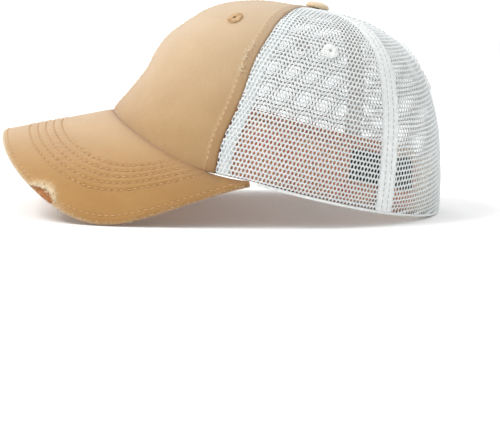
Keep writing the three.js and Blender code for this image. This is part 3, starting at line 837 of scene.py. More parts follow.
# Seam tapes: white woven tape sewn over the raw edges inside the net's seams. It shows through the
# holes of the net as a dense white band along each seam.
TAPE_DEPTH = 0.8 * MM
SIDE_TAPE_DEPTH = 0.1 * MM
TAPE_WALL = 0.8 * MM
TAPE_TOP_RADIUS = 6 * MM
TAPE_TURN_LIMIT = 0.58  # radians that a tape may span near the top
TAPE_BELLY = 0.25 * MM
TAPE_COLUMNS = 8
TAPE_ROWS = 80
BACK_TAPE_ROWS = 40
FRONT_TAPE_FLAT = (7 * MM, 118 * MM)
FRONT_TAPE_SHIFT = 0.6  # of its width behind the seam
SIDE_TAPE_FLAT = (11.5 * MM, 118 * MM)
LOWER_TAPE_FLAT = (11 * MM, 68 * MM)
UPPER_TAPE_FLAT = (11 * MM, 20 * MM)
BINDING_WIDTH = 2.6 * MM
TAPE_WHITE = colour(246, 248, 246)
TAPE_GREY = colour(226, 230, 229)


def tape_finish(name, light, dark, pitch):
    """Woven tape: fine ribs across it, slanted ones over them and slight unevenness."""
    material, tree, shader = start_finish(name, 0.85, 0.3)
    cloth = add_node(tree, "ShaderNodeUVMap", uv_map="cloth").outputs["UV"]
    across = ribs(tree, cloth, pitch, math.radians(90))
    slanted = ribs(tree, cloth, 1.4 * pitch, math.radians(45))
    uneven = spread(tree, speckle(tree, cloth, 3 * MM), 0.3, 0.7)
    toned = mix_colours(tree, uneven, light, dark)
    valley = add_node(tree, "ShaderNodeMath", {1: 0.3}, {0: across}, operation="MULTIPLY")
    tree.links.new(mix_colours(tree, valley.outputs[0], toned, dark), shader.inputs["Base Color"])
    first = add_bump(tree, shader, across, 0.08 * MM)
    add_bump(tree, shader, slanted, 0.05 * MM, first)
    return material


white_tape = tape_finish("white woven tape", TAPE_WHITE, TAPE_GREY, 0.7 * MM)


def seam_tape(angle, flat, shift, depth, from_t, to_t, rows):
    """A tape inside the crown along a seam, moved sideways by a share of its width."""
    def place(across, up):
        t = from_t + (to_t - from_t) * up
        turn = np.minimum(flat[0] / crown_girth(angle, t), TAPE_TURN_LIMIT)
        belly = TAPE_BELLY * np.sin(math.pi * across)
        return crown_offset(angle + turn * (across - 0.5 + shift), t, belly - depth)

    return bent_sheet(TAPE_COLUMNS, rows, place, flat)


tape_top = t_at_radius(TAPE_TOP_RADIUS, math.pi / 2)
for name, side in (("left", 1), ("right", -1)):
    for place_name, angle, flat, shift, depth in (
        ("front", side * FRONT_SEAM, FRONT_TAPE_FLAT, side * FRONT_TAPE_SHIFT, TAPE_DEPTH),
        ("side", side * SIDE_SEAM, SIDE_TAPE_FLAT, 0, SIDE_TAPE_DEPTH),
    ):
        bottom = float(t_at_height(low_edge(np.array(angle))))
        tape = finish_piece(
            place_name + "_tape_" + name,
            seam_tape(angle, flat, shift, depth, bottom, tape_top, TAPE_ROWS),
            white_tape,
            [place_name + "_seam_tape_" + name],
            TAPE_WALL,
        )

opening_rise = (OPENING_LENGTH / 2 + BINDING_WIDTH) * math.hypot(OPENING_OUT[0], OPENING_OUT[1])
below_opening = float(t_at_height(OPENING_HEIGHT - opening_rise))
above_opening = float(t_at_height(OPENING_HEIGHT + opening_rise))
for name, flat, from_t, to_t in (
    ("lower", LOWER_TAPE_FLAT, 0.0, below_opening),
    ("upper", UPPER_TAPE_FLAT, above_opening, tape_top),
):
    tape = finish_piece(
        "back_tape_" + name,
        seam_tape(math.pi, flat, 0, TAPE_DEPTH, from_t, to_t, BACK_TAPE_ROWS),
        white_tape,
        ["back_seam_tape_" + name],
        TAPE_WALL,
    )

# Binding of the ponytail opening: a white tape folded over the cut edge of the net and sewn down
# all the way round.
BINDING_INSET = 1.0 * MM
BINDING_HALF_WIDTH = 2.1 * MM
BINDING_HALF_HEIGHT = 1.1 * MM
BINDING_FLAT = (140 * MM, 7 * MM)
BINDING_COLUMNS = 140
BINDING_ROWS = 14


def opening_binding():
    """A flattened tube of tape that runs once round the opening's edge."""
    def place(round_it, over):
        turn = math.tau * round_it
        fold = math.tau * over
        inset = BINDING_INSET + BINDING_HALF_WIDTH * np.cos(fold)
        beside = (OPENING_WIDTH / 2 - inset) * np.cos(turn)
        above = (OPENING_LENGTH / 2 - inset) * np.sin(turn)
        angle, t = opening_place(beside, above)
        return crown_offset(angle, t, BINDING_HALF_HEIGHT * np.sin(fold) - NET_WALL / 2)

    mesh = bent_sheet(BINDING_COLUMNS, BINDING_ROWS, place, BINDING_FLAT)
    bm = bmesh.new()
    bm.from_mesh(mesh)
    bmesh.ops.remove_doubles(bm, verts=bm.verts, dist=NET_MERGE)
    bmesh.ops.recalc_face_normals(bm, faces=bm.faces)
    return finish_mesh(bm, mesh)


finish_piece(
    "opening_binding", opening_binding(), white_tape, ["ponytail_opening_binding"]
)

# Eyelets: small vent holes worked over with close radial stitches, in cotton thread in front and in
# white thread on the net.
EYELET_RADIUS = 4.7 * MM
EYELET_BORE = 0.8 * MM
EYELET_HALF_HEIGHT = 0.6 * MM
EYELET_STITCHES = 36
EYELET_STITCH_RADIUS = 0.3 * MM
EYELET_SIDES = 10
EYELET_STEPS = 30
FRONT_EYELET = (math.radians(43), 85 * MM)
SIDE_EYELET = (math.radians(95), 78 * MM)
COTTON_THREAD = colour(232, 202, 158)
WHITE_THREAD = colour(244, 245, 243)


def thread_finish(name, tone, shade):
    """Twisted sewing thread: fine slanted twist and a soft gloss."""
    material, tree, shader = start_finish(name, 0.6, 0.3)
    place = add_node(tree, "ShaderNodeTexCoord").outputs["Object"]
    twist = ribs(tree, place, 0.25 * MM, math.radians(35))
    tree.links.new(mix_colours(tree, twist, shade, tone), shader.inputs["Base Color"])
    add_bump(tree, shader, twist, 0.04 * MM)
    return material


cotton_thread = thread_finish("pale cotton thread", COTTON_THREAD, colour(205, 168, 120))
eyelet_cotton = thread_finish("eyelet cotton thread", colour(216, 184, 140), colour(190, 152, 106))
white_thread = thread_finish("white thread", WHITE_THREAD, TAPE_WHITE)
# The net's seam thread is greyed below white: real thread with painted shade, for the faint grey marks
# of its stitches on the tape.
seam_thread = thread_finish("grey white seam thread", colour(224, 227, 226), colour(182, 188, 190))


def crown_seat(angle, t):
    """A matrix whose Z points out of the crown at a place on it."""
    out = Vector(crown_normal(np.array([angle]), np.array([t]))[0])
    level = Vector((-out.y, out.x, 0)).normalized()
    turn = Matrix((level, out.cross(level), out)).transposed().to_4x4()
    return Matrix.Translation(Vector(crown_point(np.array([angle]), np.array([t]))[0])) @ turn


def add_stitch(bm, middle, way, out, half_length, radius):
    """A stitch of thread: a small long bead that lies along way."""
    way = Vector(way).normalized()
    side = Vector(out).cross(way).normalized()
    up = way.cross(side)
    turn = Matrix((side * radius, up * radius, way * half_length)).transposed().to_4x4()
    place = Matrix.Translation(Vector(middle)) @ turn
    bmesh.ops.create_uvsphere(bm, u_segments=6, v_segments=4, radius=1, matrix=place)


def eyelet(angle, t):
    """A flat ring with a small bore, covered with radial stitches."""
    bm = bmesh.new()
    middle = (EYELET_RADIUS + EYELET_BORE) / 2
    half = (EYELET_RADIUS - EYELET_BORE) / 2
    tube = bmesh.ops.create_circle(bm, segments=EYELET_SIDES, radius=1)["verts"]
    bmesh.ops.scale(bm, vec=(half * 0.94, EYELET_HALF_HEIGHT, 1), verts=tube)
    bmesh.ops.rotate(bm, matrix=Matrix.Rotation(math.pi / 2, 3, "X"), verts=tube)
    bmesh.ops.translate(bm, vec=(middle, 0, EYELET_HALF_HEIGHT * 0.3), verts=tube)
    section = tube + list(bm.edges)
    bmesh.ops.spin(
        bm, geom=section, cent=(0, 0, 0), axis=(0, 0, 1), dvec=(0, 0, 0), angle=math.tau,
        steps=EYELET_STEPS, use_merge=True,
    )
    bmesh.ops.recalc_face_normals(bm, faces=bm.faces)
    for i in range(EYELET_STITCHES):
        turn = math.tau * i / EYELET_STITCHES
        way = Vector((math.cos(turn), math.sin(turn), 0))
        rise = EYELET_HALF_HEIGHT * (1.15 + 0.12 * math.sin(5 * turn))
        add_stitch(bm, way * middle + Vector((0, 0, rise)), way, (0, 0, 1), half, EYELET_STITCH_RADIUS)
    bm.transform(crown_seat(angle, t))
    return finish_mesh(bm, "eyelet")


for name, side in (("left", 1), ("right", -1)):
    for where, (angle, height), thread, slot in (
        ("front", FRONT_EYELET, eyelet_cotton, "cotton_stitching"),
        ("side", SIDE_EYELET, white_thread, "white_stitching"),
    ):
        finish_piece(
            where + "_worked_eyelet_" + name,
            eyelet(side * angle, float(t_at_height(height))),
            thread,
            [where + "_eyelet_" + name],
        )

# Button: a metal shell covered with the crown's cotton, gathered under its edge and riveted through
# the crown's centre, with a flat head inside.
BUTTON_RADIUS = 7 * MM
BUTTON_HEIGHT = 3.6 * MM
RIVET_RADIUS = 1.5 * MM
RIVET_HEAD_RADIUS = 4.5 * MM
RIVET_HEAD_WALL = 1 * MM
RIVET_DEPTH = 3.0 * MM
BUTTON_SHOULDER = 0.16  # share of its height below the dome
BUTTON_FOOT = 0.93  # share of its radius where it sits on the crown
BUTTON_FULLNESS = 0.7
BUTTON_RINGS = 12
BUTTON_STEPS = 56
BUTTON_GATHERS = 14
GATHER_DEPTH = 0.16 * MM
BUTTON_COLOUR = colour(222, 197, 160)


def covered_button():
    """A domed button with soft gathers at its foot, its rivet's shank and the rivet's head."""
    seat = SEAM_GAP
    profile = [
        (0, -RIVET_DEPTH - RIVET_HEAD_WALL),
        (RIVET_HEAD_RADIUS, -RIVET_DEPTH - RIVET_HEAD_WALL),
        (RIVET_HEAD_RADIUS, -RIVET_DEPTH),
        (RIVET_RADIUS, -RIVET_DEPTH),
        (RIVET_RADIUS, seat),
        (BUTTON_RADIUS * BUTTON_FOOT, seat),
    ]
    for i in range(BUTTON_RINGS + 1):
        turn = math.pi / 2 * i / BUTTON_RINGS
        rise = BUTTON_HEIGHT * (BUTTON_SHOULDER + (1 - BUTTON_SHOULDER) * math.sin(turn))
        reach = BUTTON_RADIUS * max(0.0, math.cos(turn)) ** BUTTON_FULLNESS
        profile.append((reach, seat + rise))
    bm = bmesh.new()
    verts = [bm.verts.new((r, 0, z)) for r, z in profile]
    edges = [bm.edges.new(pair) for pair in zip(verts, verts[1:])]
    bmesh.ops.spin(
        bm, geom=verts + edges, cent=(0, 0, 0), axis=(0, 0, 1), dvec=(0, 0, 0), angle=math.tau,
        steps=BUTTON_STEPS, use_merge=True,
    )
    bmesh.ops.remove_doubles(bm, verts=bm.verts, dist=NET_MERGE)
    bmesh.ops.recalc_face_normals(bm, faces=bm.faces)
    for v in bm.verts:
        reach = math.hypot(v.co.x, v.co.y)
        if v.co.z > seat and reach > 0.4 * BUTTON_RADIUS:
            low = (reach / BUTTON_RADIUS) ** 4
            v.co.z += GATHER_DEPTH * low * math.cos(BUTTON_GATHERS * math.atan2(v.co.y, v.co.x))
    bm.transform(Matrix.Translation(Vector(CROWN_TOP)))
    layer = bm.loops.layers.uv.new("cloth")
    for face in bm.faces:
        for loop in face.loops:
            loop[layer].uv = loop.vert.co.xy
    return finish_mesh(bm, "button")


button_cotton = cotton_finish(
    "button cotton", BUTTON_COLOUR, COTTON_LIGHT, WORN_COTTON, *CROWN_HIGHLIGHT_HEIGHTS
)
finish_piece("covered_button", covered_button(), button_cotton, ["top_button"])

# Visor: a stiff board between a cotton cover and a cotton underside, quilted with five rows of
# stitching that follow its edge. The edge is rubbed pale, and on the wearer's left a strip of the
# cover is torn away so that the board shows.
BOARD_DEPTH = 1.5 * MM
BOARD_WALL = 1.6 * MM
BOARD_INSET = 1.0 * MM
COVER_WALL = 0.9 * MM
VISOR_COLUMNS = 210
VISOR_ROWS = 110
UNDER_ROWS = 40
BOARD_COLUMNS = 80
BOARD_ROWS = 16
ROLL_START = 0.88  # share of the rows that lie on the flat before the edge turns over
ROLL_RADIUS = VISOR_THICK / 2 - 0.1 * MM
STITCH_ROWS = np.array([16.5, 21.3, 26.1, 30.9, 35.7]) * MM
EDGE_ROW = 3.2 * MM
EDGE_SINK = 0.2 * MM
EDGE_ROW_WIDTH = 0.6 * MM
ROW_WIDTH = 0.7 * MM
ROW_FADE = 9 * MM  # the rows' relief dies out over this length before the crown
PUFF_AFTER = 1.7 * MM  # a row's puff lies this far behind it
PUFF_WIDTH = 1.2 * MM
SEAM_TUCK = 0.5 * MM
TUCK_WIDTH = 1.3 * MM
QUILT_SINK = 0.32 * MM
SIDE_PULL = 0.3
QUILT_PUFF = 0.26 * MM
TEAR_FRONT = 51.8 * MM  # along the visor, where the torn strip starts
TEAR_BACK = 40.2 * MM  # and where it ends
TEAR_DEPTH = 3.7 * MM
TEAR_LIP = 1.1 * MM
TEAR_LIP_WIDTH = 1.7 * MM
TEAR_LIP_RISE = 1.5 * MM  # depth of tear at which the lip has its full height
COVER_DENTS = 0.4  # share of the crown's dents
COVER_CALM = 20 * MM  # the dents die out over this length before the crown
TEAR_PULL = 0.3  # share of the tear's depth by which the underside is worn back there
BOARD_REACH = 0.93  # share of the visor's width that the board fills
SLANT_SPAN = 0.09  # in shares, over which the rows' way round the visor is evened out
VISOR_FLAT = (214 * MM, 122 * MM)
VISOR_LIGHT = colour(180, 137, 81)
VISOR_DARK = colour(172, 128, 73)
# Heights between which the painted highlight grows on the visor.
VISOR_HIGHLIGHT_HEIGHTS = (18 * MM, 62 * MM)
UNDER_COTTON = colour(176, 132, 88)
BOARD_LIGHT = colour(196, 134, 84)
BOARD_DARK = colour(150, 92, 50)

SHARES = np.linspace(-1, 1, 1201)
EDGE_LINE_ACROSS, EDGE_LINE_ALONG = visor_edge(SHARES)
SEAM_LINE_ACROSS, SEAM_LINE_ALONG, _ = visor_seam(SHARES * VISOR_END, 0)


def unrolled(across, along):
    """Place on the visor laid flat: its length round the bend, and along the ridge."""
    bend = visor_bend(along)
    return np.stack([bend * np.arcsin(np.clip(across / bend, -1, 1)), along], -1)


EDGE_FLAT = unrolled(EDGE_LINE_ACROSS, EDGE_LINE_ALONG)
SEAM_FLAT = unrolled(SEAM_LINE_ACROSS, SEAM_LINE_ALONG)
LINE_LENGTH = np.linalg.norm(EDGE_FLAT - SEAM_FLAT, axis=1)
EDGE_RUN = np.concatenate([[0], np.cumsum(np.linalg.norm(np.diff(EDGE_FLAT, axis=0), axis=1))])
left_half = SHARES > 0
tear_ends = np.interp(
    [-TEAR_FRONT, -TEAR_BACK], -EDGE_LINE_ALONG[left_half], SHARES[left_half]
)


def torn_back(share):
    """How far the cover's edge is torn back from the visor's edge."""
    part = np.clip((share - tear_ends[0]) / (tear_ends[1] - tear_ends[0]), 0, 1)
    ragged = 1 + 0.16 * np.sin(31 * part) + 0.1 * np.sin(67 * part + 1)
    return TEAR_DEPTH * np.sin(math.pi * part) ** 0.7 * ragged


def edge_slant():
    """Cosine between the lines across the visor and the shortest way in from its edge, evened
    out, and a little larger at the sides, where the stitch rows draw nearer to the edge."""
    way = np.gradient(EDGE_FLAT, axis=0)
    way /= np.linalg.norm(way, axis=1, keepdims=True)
    line = (SEAM_FLAT - EDGE_FLAT) / np.maximum(LINE_LENGTH, 1e-6)[:, None]
    slant = np.abs(way[:, 0] * line[:, 1] - way[:, 1] * line[:, 0])
    spans = groove(SHARES[:, None] - SHARES[None, :], SLANT_SPAN)
    return spans @ slant / spans.sum(1) * (1 + SIDE_PULL * np.abs(SHARES) ** 1.5)


EDGE_SLANT = edge_slant()


def visor_lines(share, from_edge):
    """Place on the visor's cone at a distance from its edge, measured on the line to the seam."""
    reach = np.interp(share, SHARES, LINE_LENGTH)
    part = from_edge / reach
    across = np.interp(share, SHARES, EDGE_LINE_ACROSS) * (1 - part)
    across += np.interp(share, SHARES, SEAM_LINE_ACROSS) * part
    along = np.interp(share, SHARES, EDGE_LINE_ALONG) * (1 - part)
    return across, along + np.interp(share, SHARES, SEAM_LINE_ALONG) * part


def quilting(share, from_edge, from_seam):
    """Relief of the stitch rows: sunk lines with small puckers, which fade near the crown."""
    away = from_edge * np.interp(share, SHARES, EDGE_SLANT)
    run = np.interp(share, SHARES, EDGE_RUN)
    fade = np.clip(from_seam / ROW_FADE, 0, 1)
    puckers = np.sin(math.tau * run / PUCKER_PITCH + 3 * np.sin(run / (9 * MM) + away / (3 * MM)))
    relief = np.zeros(len(share))
    for i, row in enumerate(STITCH_ROWS):
        pull = 1 + 0.5 * np.sin(math.tau * run / PUCKER_PITCH + 2 * i)
        relief -= QUILT_SINK * groove(away - row, ROW_WIDTH) * pull
        relief += QUILT_PUFF * groove(away - row - PUFF_AFTER, PUFF_WIDTH) * (1 + 1.1 * puckers)
    relief -= EDGE_SINK * groove(away - EDGE_ROW, EDGE_ROW_WIDTH) * (1 + 0.4 * puckers)
    return relief * fade


def visor_rows_of(up, reach):
    """Way in from the edge, and drop where the edge rolls over, for a row of a cover's grid."""
    roll = np.minimum(ROLL_RADIUS, 0.4 * reach)
    flat_part = np.clip(up / ROLL_START, 0, 1)
    turn = np.clip((up - ROLL_START) / (1 - ROLL_START), 0, 1) * math.pi / 2
    from_edge = roll + (reach - roll) * (1 - flat_part) - roll * np.sin(turn)
    return from_edge, roll * (1 - np.cos(turn))


def cover_rows(across, up):
    """Where the cover's points lie: share, reach, depth of the tear, way in from the edge, drop."""
    share = 1 - 2 * across
    reach = np.interp(share, SHARES, LINE_LENGTH)
    from_edge, drop = visor_rows_of(up, reach)
    torn = np.minimum(torn_back(share), 0.6 * reach)
    return share, reach, torn, from_edge, torn + from_edge * (1 - torn / reach), drop


def visor_cover(across, up):
    share, reach, torn, _, inward, drop = cover_rows(across, up)
    whole = 1 - np.clip(torn / TEAR_LIP_RISE, 0, 1)
    place, along = visor_lines(share, inward)
    from_seam = reach - inward
    calm = COVER_DENTS * np.clip(from_seam / COVER_CALM, 0, 1)
    relief = quilting(share, inward, from_seam) + soft_dents(visor_point(place, along, 0 * place)) * calm
    lumps = 1 + 0.6 * np.sin(300 * share) * np.sin(inward / (0.7 * MM) + 170 * share)
    relief += TEAR_LIP * (1 - whole) * groove(inward - torn - TEAR_LIP_WIDTH, TEAR_LIP_WIDTH) * lumps
    tuck = SEAM_TUCK * np.exp(-from_seam / TUCK_WIDTH)
    return visor_point(place, along, drop * whole + tuck - relief * (drop == 0))


def cover_wear_and_shade(across, up):
    """Pale at the rubbed edge and round the tear; painted shade in the stitch rows and a painted shadow
    line where it meets the crown.
    """
    share, reach, torn, from_edge, inward, _ = cover_rows(across, up)
    rubbed = 0.35 * groove(from_edge - 0.2 * MM, 0.7 * MM) * (1 - 1.9 * share**2)
    rubbed += 0.5 * groove(from_edge, 3 * MM) * groove(share, 0.2)
    lip = groove((share - tear_ends.mean()) / (tear_ends[1] - tear_ends[0]), 0.62)
    rubbed += 1.5 * (lip * 0.6 + 0.4 * np.clip(torn / MM, 0, 1)) * groove(from_edge, 3.2 * MM)
    away = inward * np.interp(share, SHARES, EDGE_SLANT)
    # Painted shade in the stitch rows.
    painted_groove_shade = sum(groove(away - row, 0.6 * MM) for row in STITCH_ROWS)
    painted_groove_shade = painted_groove_shade * np.clip((reach - inward) / (12 * MM), 0, 1)
    # Pale wear, less the painted shade of the rows and a painted shadow line along the seam with the
    # crown.
    return rubbed - 0.16 * painted_groove_shade - 0.75 * np.exp(-(reach - inward) / (2.2 * MM))


visor_cotton = cotton_finish("visor cotton", VISOR_LIGHT, VISOR_DARK, WORN_COTTON, *VISOR_HIGHLIGHT_HEIGHTS)
cover = finish_piece(
    "visor_cover",
    bent_sheet(VISOR_COLUMNS, VISOR_ROWS, visor_cover, VISOR_FLAT, cover_wear_and_shade),
    visor_cotton,
    ["visor_top"],
    COVER_WALL,
)


def under_cover(across, up):
    """The visor's underside, quilted as the cover is and rolled up to meet it at the edge."""
    share = 2 * across - 1
    reach = np.interp(share, SHARES, LINE_LENGTH)
    from_edge, rise = visor_rows_of(up, reach)
    torn = TEAR_PULL * np.minimum(torn_back(share), reach)
    whole = 1 - np.clip(torn / (0.4 * MM), 0, 1)
    place, along = visor_lines(share, torn + from_edge * (1 - torn / reach))
    relief = quilting(share, from_edge, reach - from_edge)
    return visor_point(place, along, VISOR_THICK - rise * whole + relief * (rise == 0))


def board(across, up):
    """The board between the covers, set back from their edge except where the cover is torn."""
    share = BOARD_REACH * (1 - 2 * across)
    reach = np.interp(share, SHARES, LINE_LENGTH)
    inset = BOARD_INSET * (1 - 0.9 * np.clip(torn_back(share) / MM, 0, 1))
    from_edge = inset + (reach - inset - 0.5 * MM) * (1 - up)
    place, along = visor_lines(share, from_edge)
    return visor_point(place, along, np.full(len(place), BOARD_DEPTH))


under_cotton = cotton_finish(
    "visor underside cotton", UNDER_COTTON, VISOR_DARK, WORN_COTTON, *VISOR_HIGHLIGHT_HEIGHTS
)


def under_wear(across, up):
    return 0.5 * np.clip(up * 12 - 11.1, 0, 1)


underside = finish_piece(
    "visor_lining",
    bent_sheet(VISOR_COLUMNS, UNDER_ROWS, under_cover, VISOR_FLAT, under_wear),
    under_cotton,
    ["visor_under"],
    COVER_WALL,
)


def board_finish():
    """Brown fibre board: coarse fibres in two browns, with a rough face."""
    material, tree, shader = start_finish("brown fibre board", 0.85, 0.0)
    cloth = add_node(tree, "ShaderNodeUVMap", uv_map="cloth").outputs["UV"]
    fibres = spread(tree, speckle(tree, cloth, 0.8 * MM, 4.0), 0.35, 0.65)
    tree.links.new(mix_colours(tree, fibres, BOARD_DARK, BOARD_LIGHT), shader.inputs["Base Color"])
    add_bump(tree, shader, fibres, 0.15 * MM)
    return material


finish_piece(
    "visor_stiffener",
    bent_sheet(BOARD_COLUMNS, BOARD_ROWS, board, VISOR_FLAT),
    board_finish(),
    ["visor_board"],
    BOARD_WALL,
)

# Sweatband: a soft peach cotton band inside the rim, seen through the net. Its upper edge is turned
# and sewn, it turns cream towards its back ends, and it swells a little between them.
BAND_HEIGHT = 32 * MM
BAND_WALL = 1.5 * MM
BAND_DEPTH = 2.7 * MM
BAND_STOP = 32 * MM  # from the centre back to each end of the band
BAND_END = math.pi - BAND_STOP / RIM_HALF_WIDTH
BAND_WAVE = 0.35 * MM
BAND_TURNING = 0.45 * MM  # how far its turned upper edge stands out
BAND_FLAT = (508 * MM, BAND_HEIGHT)
BAND_COLUMNS = 220
BAND_ROWS = 16
BAND_SEAM_IN = 3.4 * MM  # from its upper edge to its row of stitches
BAND_SEAM_UP = 4 * MM  # from its lower edge to the other row
BAND_PEACH = colour(238, 178, 140)
BAND_PINK = colour(230, 156, 128)
BAND_CREAM = colour(250, 236, 214)
# Angles between which the band turns cream.
BAND_CREAM_TURN = (math.radians(137), math.radians(143))


def sweatband(across, up):
    """The band inside the rim, with a turned upper edge, a sewn line below it and soft waves."""
    angle = BAND_END * (2 * across - 1)
    t = t_at_height(low_edge(angle) + BAND_HEIGHT * up)
    wave = BAND_WAVE * np.sin(22 * angle + 1.7 * up) * np.sin(9 * angle + 0.6)
    edge = BAND_TURNING * groove((1 - up) * BAND_HEIGHT, 2.2 * MM)
    sewn = 0.4 * MM * groove((1 - up) * BAND_HEIGHT - BAND_SEAM_IN, 0.8 * MM)
    return crown_offset(angle, t, wave * np.sin(math.pi * up) + edge - sewn - BAND_DEPTH)


def band_cream_share(across, up):
    angle = np.abs(BAND_END * (2 * across - 1))
    return np.clip((angle - BAND_CREAM_TURN[0]) / (BAND_CREAM_TURN[1] - BAND_CREAM_TURN[0]), 0, 1)


def band_finish():
    """Brushed cotton: peach with soft pink blots, turning cream towards the band's ends, with a fine
    nap.
    """
    material, tree, shader = start_finish("brushed peach cotton", 0.95, 0.5)
    cloth = add_node(tree, "ShaderNodeUVMap", uv_map="cloth").outputs["UV"]
    blots = spread(tree, speckle(tree, cloth, 16 * MM, 1.5), 0.45, 0.68)
    toned = mix_colours(tree, blots, BAND_PEACH, BAND_PINK)
    cream_share = add_node(tree, "ShaderNodeAttribute", attribute_name="tone_marks").outputs["Fac"]
    tree.links.new(mix_colours(tree, cream_share, toned, BAND_CREAM), shader.inputs["Base Color"])
    nap = add_bump(tree, shader, speckle(tree, cloth, 0.5 * MM), 0.12 * MM)
    add_bump(tree, shader, ribs(tree, cloth, 0.9 * MM, math.radians(60)), 0.06 * MM, nap)
    return material


band = finish_piece(
    "brushed_sweatband",
    bent_sheet(BAND_COLUMNS, BAND_ROWS, sweatband, BAND_FLAT, band_cream_share),
    band_finish(),
    ["sweatband"],
    BAND_WALL,
)

# Label: a bare dark grey-green woven label, sewn to the outer side of the band and seen through the
# net.
LABEL_START = math.radians(109)
LABEL_HEIGHT = 18 * MM
LABEL_FLAT = (46 * MM, LABEL_HEIGHT)
LABEL_DEPTH = 1.7 * MM
LABEL_WALL = 0.8 * MM
LABEL_CURL = 0.25 * MM
LABEL_COLUMNS = 48
LABEL_ROWS = 18
LABEL_GREEN = colour(80, 87, 73)
LABEL_DARK = colour(58, 64, 54)

label_end = LABEL_START + LABEL_FLAT[0] / float(
    crown_girth(LABEL_START, float(t_at_height(BAND_HEIGHT)))
)


def woven_label(across, up):
    angle = LABEL_START + (label_end - LABEL_START) * across
    height = low_edge(angle) + BAND_HEIGHT - LABEL_HEIGHT * (1 - up)
    curl = LABEL_CURL * np.cos(math.tau * across) * (1 - up)
    return crown_offset(angle, t_at_height(height), curl - LABEL_DEPTH)


label_cloth = tape_finish("dark woven label", LABEL_GREEN, LABEL_DARK, 0.5 * MM)
label = finish_piece(
    "bare_label",
    bent_sheet(LABEL_COLUMNS, LABEL_ROWS, woven_label, LABEL_FLAT),
    label_cloth,
    ["band_label"],
    LABEL_WALL,
)

# Back closure: one plain strap of cream webbing that bridges the two ends of the band, sewn on at
# both ends.
STRAP_HEIGHT = 20 * MM
STRAP_LIFT = 3 * MM
STRAP_WALL = 1.0 * MM
STRAP_FLAT = (100 * MM, STRAP_HEIGHT)
STRAP_REACH = 41 * MM  # from the centre back to each end of the strap
STRAP_START = math.pi - STRAP_REACH / RIM_HALF_WIDTH
STRAP_COLUMNS = 80
STRAP_ROWS = 16
STRAP_LIGHT = colour(236, 230, 218)
STRAP_DARK = colour(214, 206, 190)


def closure_strap(across, up):
    angle = STRAP_START + (math.tau - 2 * STRAP_START) * across
    t = t_at_height(low_edge(angle) + STRAP_LIFT + STRAP_HEIGHT * up)
    return crown_offset(angle, t, np.full(len(t), -LABEL_DEPTH))


webbing = tape_finish("cream webbing", STRAP_LIGHT, STRAP_DARK, 1.1 * MM)
strap = finish_piece(
    "webbing_strap",
    bent_sheet(STRAP_COLUMNS, STRAP_ROWS, closure_strap, STRAP_FLAT),
    webbing,
    ["closure_strap"],
    STRAP_WALL,
)

# Rim tape: a narrow white tape folded round the lower edges of the net and the band, sewn through
# all of them.
HEM_START = math.radians(80)
HEM_WALL = 1.0 * MM
HEM_OVERLAP = 0.3 * MM
HEM_DEPTH = 5.2 * MM
HEM_CLOTH = 0.5 * MM
HEM_COLUMNS = 240
HEM_ROWS = 12
HEM_FLAT = (325 * MM, 7.5 * MM)


def rim_tape(across, inward):
    """The tape's fold, from the net's outer side under the rim to the band's inner side."""
    angle = math.tau - HEM_START - (math.tau - 2 * HEM_START) * across
    low = low_edge(angle)
    fold = math.pi * inward
    depth = HEM_DEPTH * (0.5 - 0.5 * np.cos(fold))
    points = crown_offset(angle, t_at_height(low), -depth)
    points[:, 2] = low + HEM_OVERLAP - (HEM_OVERLAP + HEM_WALL + HEM_CLOTH) * np.sin(fold) ** 0.5
    return points


finish_piece(
    "rim_tape",
    bent_sheet(HEM_COLUMNS, HEM_ROWS, rim_tape, HEM_FLAT),
    white_tape,
    ["rim_hem"],
    HEM_CLOTH,
)

# Stitching: rows of short stitches of sewing thread along the seams and edges, which hold the
# panels, tapes, visor and band together. Each thread has one mesh on each of these pieces.
STITCH_LENGTH = 2.5 * MM
STITCH_GAP = 0.75 * MM
STITCH_RADIUS = 0.34 * MM
QUILT_DEPTH = 0.02 * MM
QUILT_GAP = 1.2 * MM
QUILT_RADIUS = 0.38 * MM
NET_ROW_BESIDE = 1.9 * MM  # from a net seam to each of its two rows
LINE_POINTS = 260
ROW_BREAK = 2 * MM  # a jump in a line that is left bare
ROW_TOP_RADIUS = 8.5 * MM
QUILTING_LIGHT = colour(214, 172, 120)
QUILTING_DARK = colour(188, 143, 94)


def sew(bm, points, normals, length=STITCH_LENGTH, gap=STITCH_GAP, radius=STITCH_RADIUS):
    """Stitches along a line of points. A jump in the line is left bare."""
    steps = np.linalg.norm(np.diff(points, axis=0), axis=1)
    for run in np.split(np.arange(len(points)), np.flatnonzero(steps > ROW_BREAK) + 1):
        if len(run) < 3:
            continue
        along = np.concatenate([[0], np.cumsum(steps[run[:-1]])])
        middles = np.arange(length, along[-1] - length / 2, length + gap)
        for middle in middles:
            ends = [
                np.array([np.interp(middle + shift, along, points[run, i]) for i in range(3)])
                for shift in (-length / 2, length / 2)
            ]
            out = [np.interp(middle, along, normals[run, i]) for i in range(3)]
            add_stitch(bm, (ends[0] + ends[1]) / 2, ends[1] - ends[0], out, length / 2, radius)


def finish_stitches(name, bm, material):
    return finish_piece(name, finish_mesh(bm, name), material)


def seam_row(angle, beside, from_t, to_t, lift):
    """A line on the crown that keeps a distance from a seam."""
    t = np.linspace(from_t, to_t, LINE_POINTS)
    turned = angle + beside / crown_girth(angle, t)
    return crown_offset(turned, t, lift), crown_normal(turned, t)


row_top = t_at_radius(ROW_TOP_RADIUS, math.pi / 2)
bm = bmesh.new()
for side in (1, -1):
    bottom = float(t_at_height(low_edge(np.array(side * FRONT_SEAM)))) + 0.03
    sew(bm, *seam_row(side * FRONT_SEAM, -side * TOPSTITCH_IN, bottom, row_top, -0.02 * MM))
    sew(bm, *seam_row(0, side * CENTRE_STITCH_IN, float(t_at_height(18 * MM)), row_top, -0.1 * MM))
finish_stitches("front_topstitching", bm, cotton_thread)

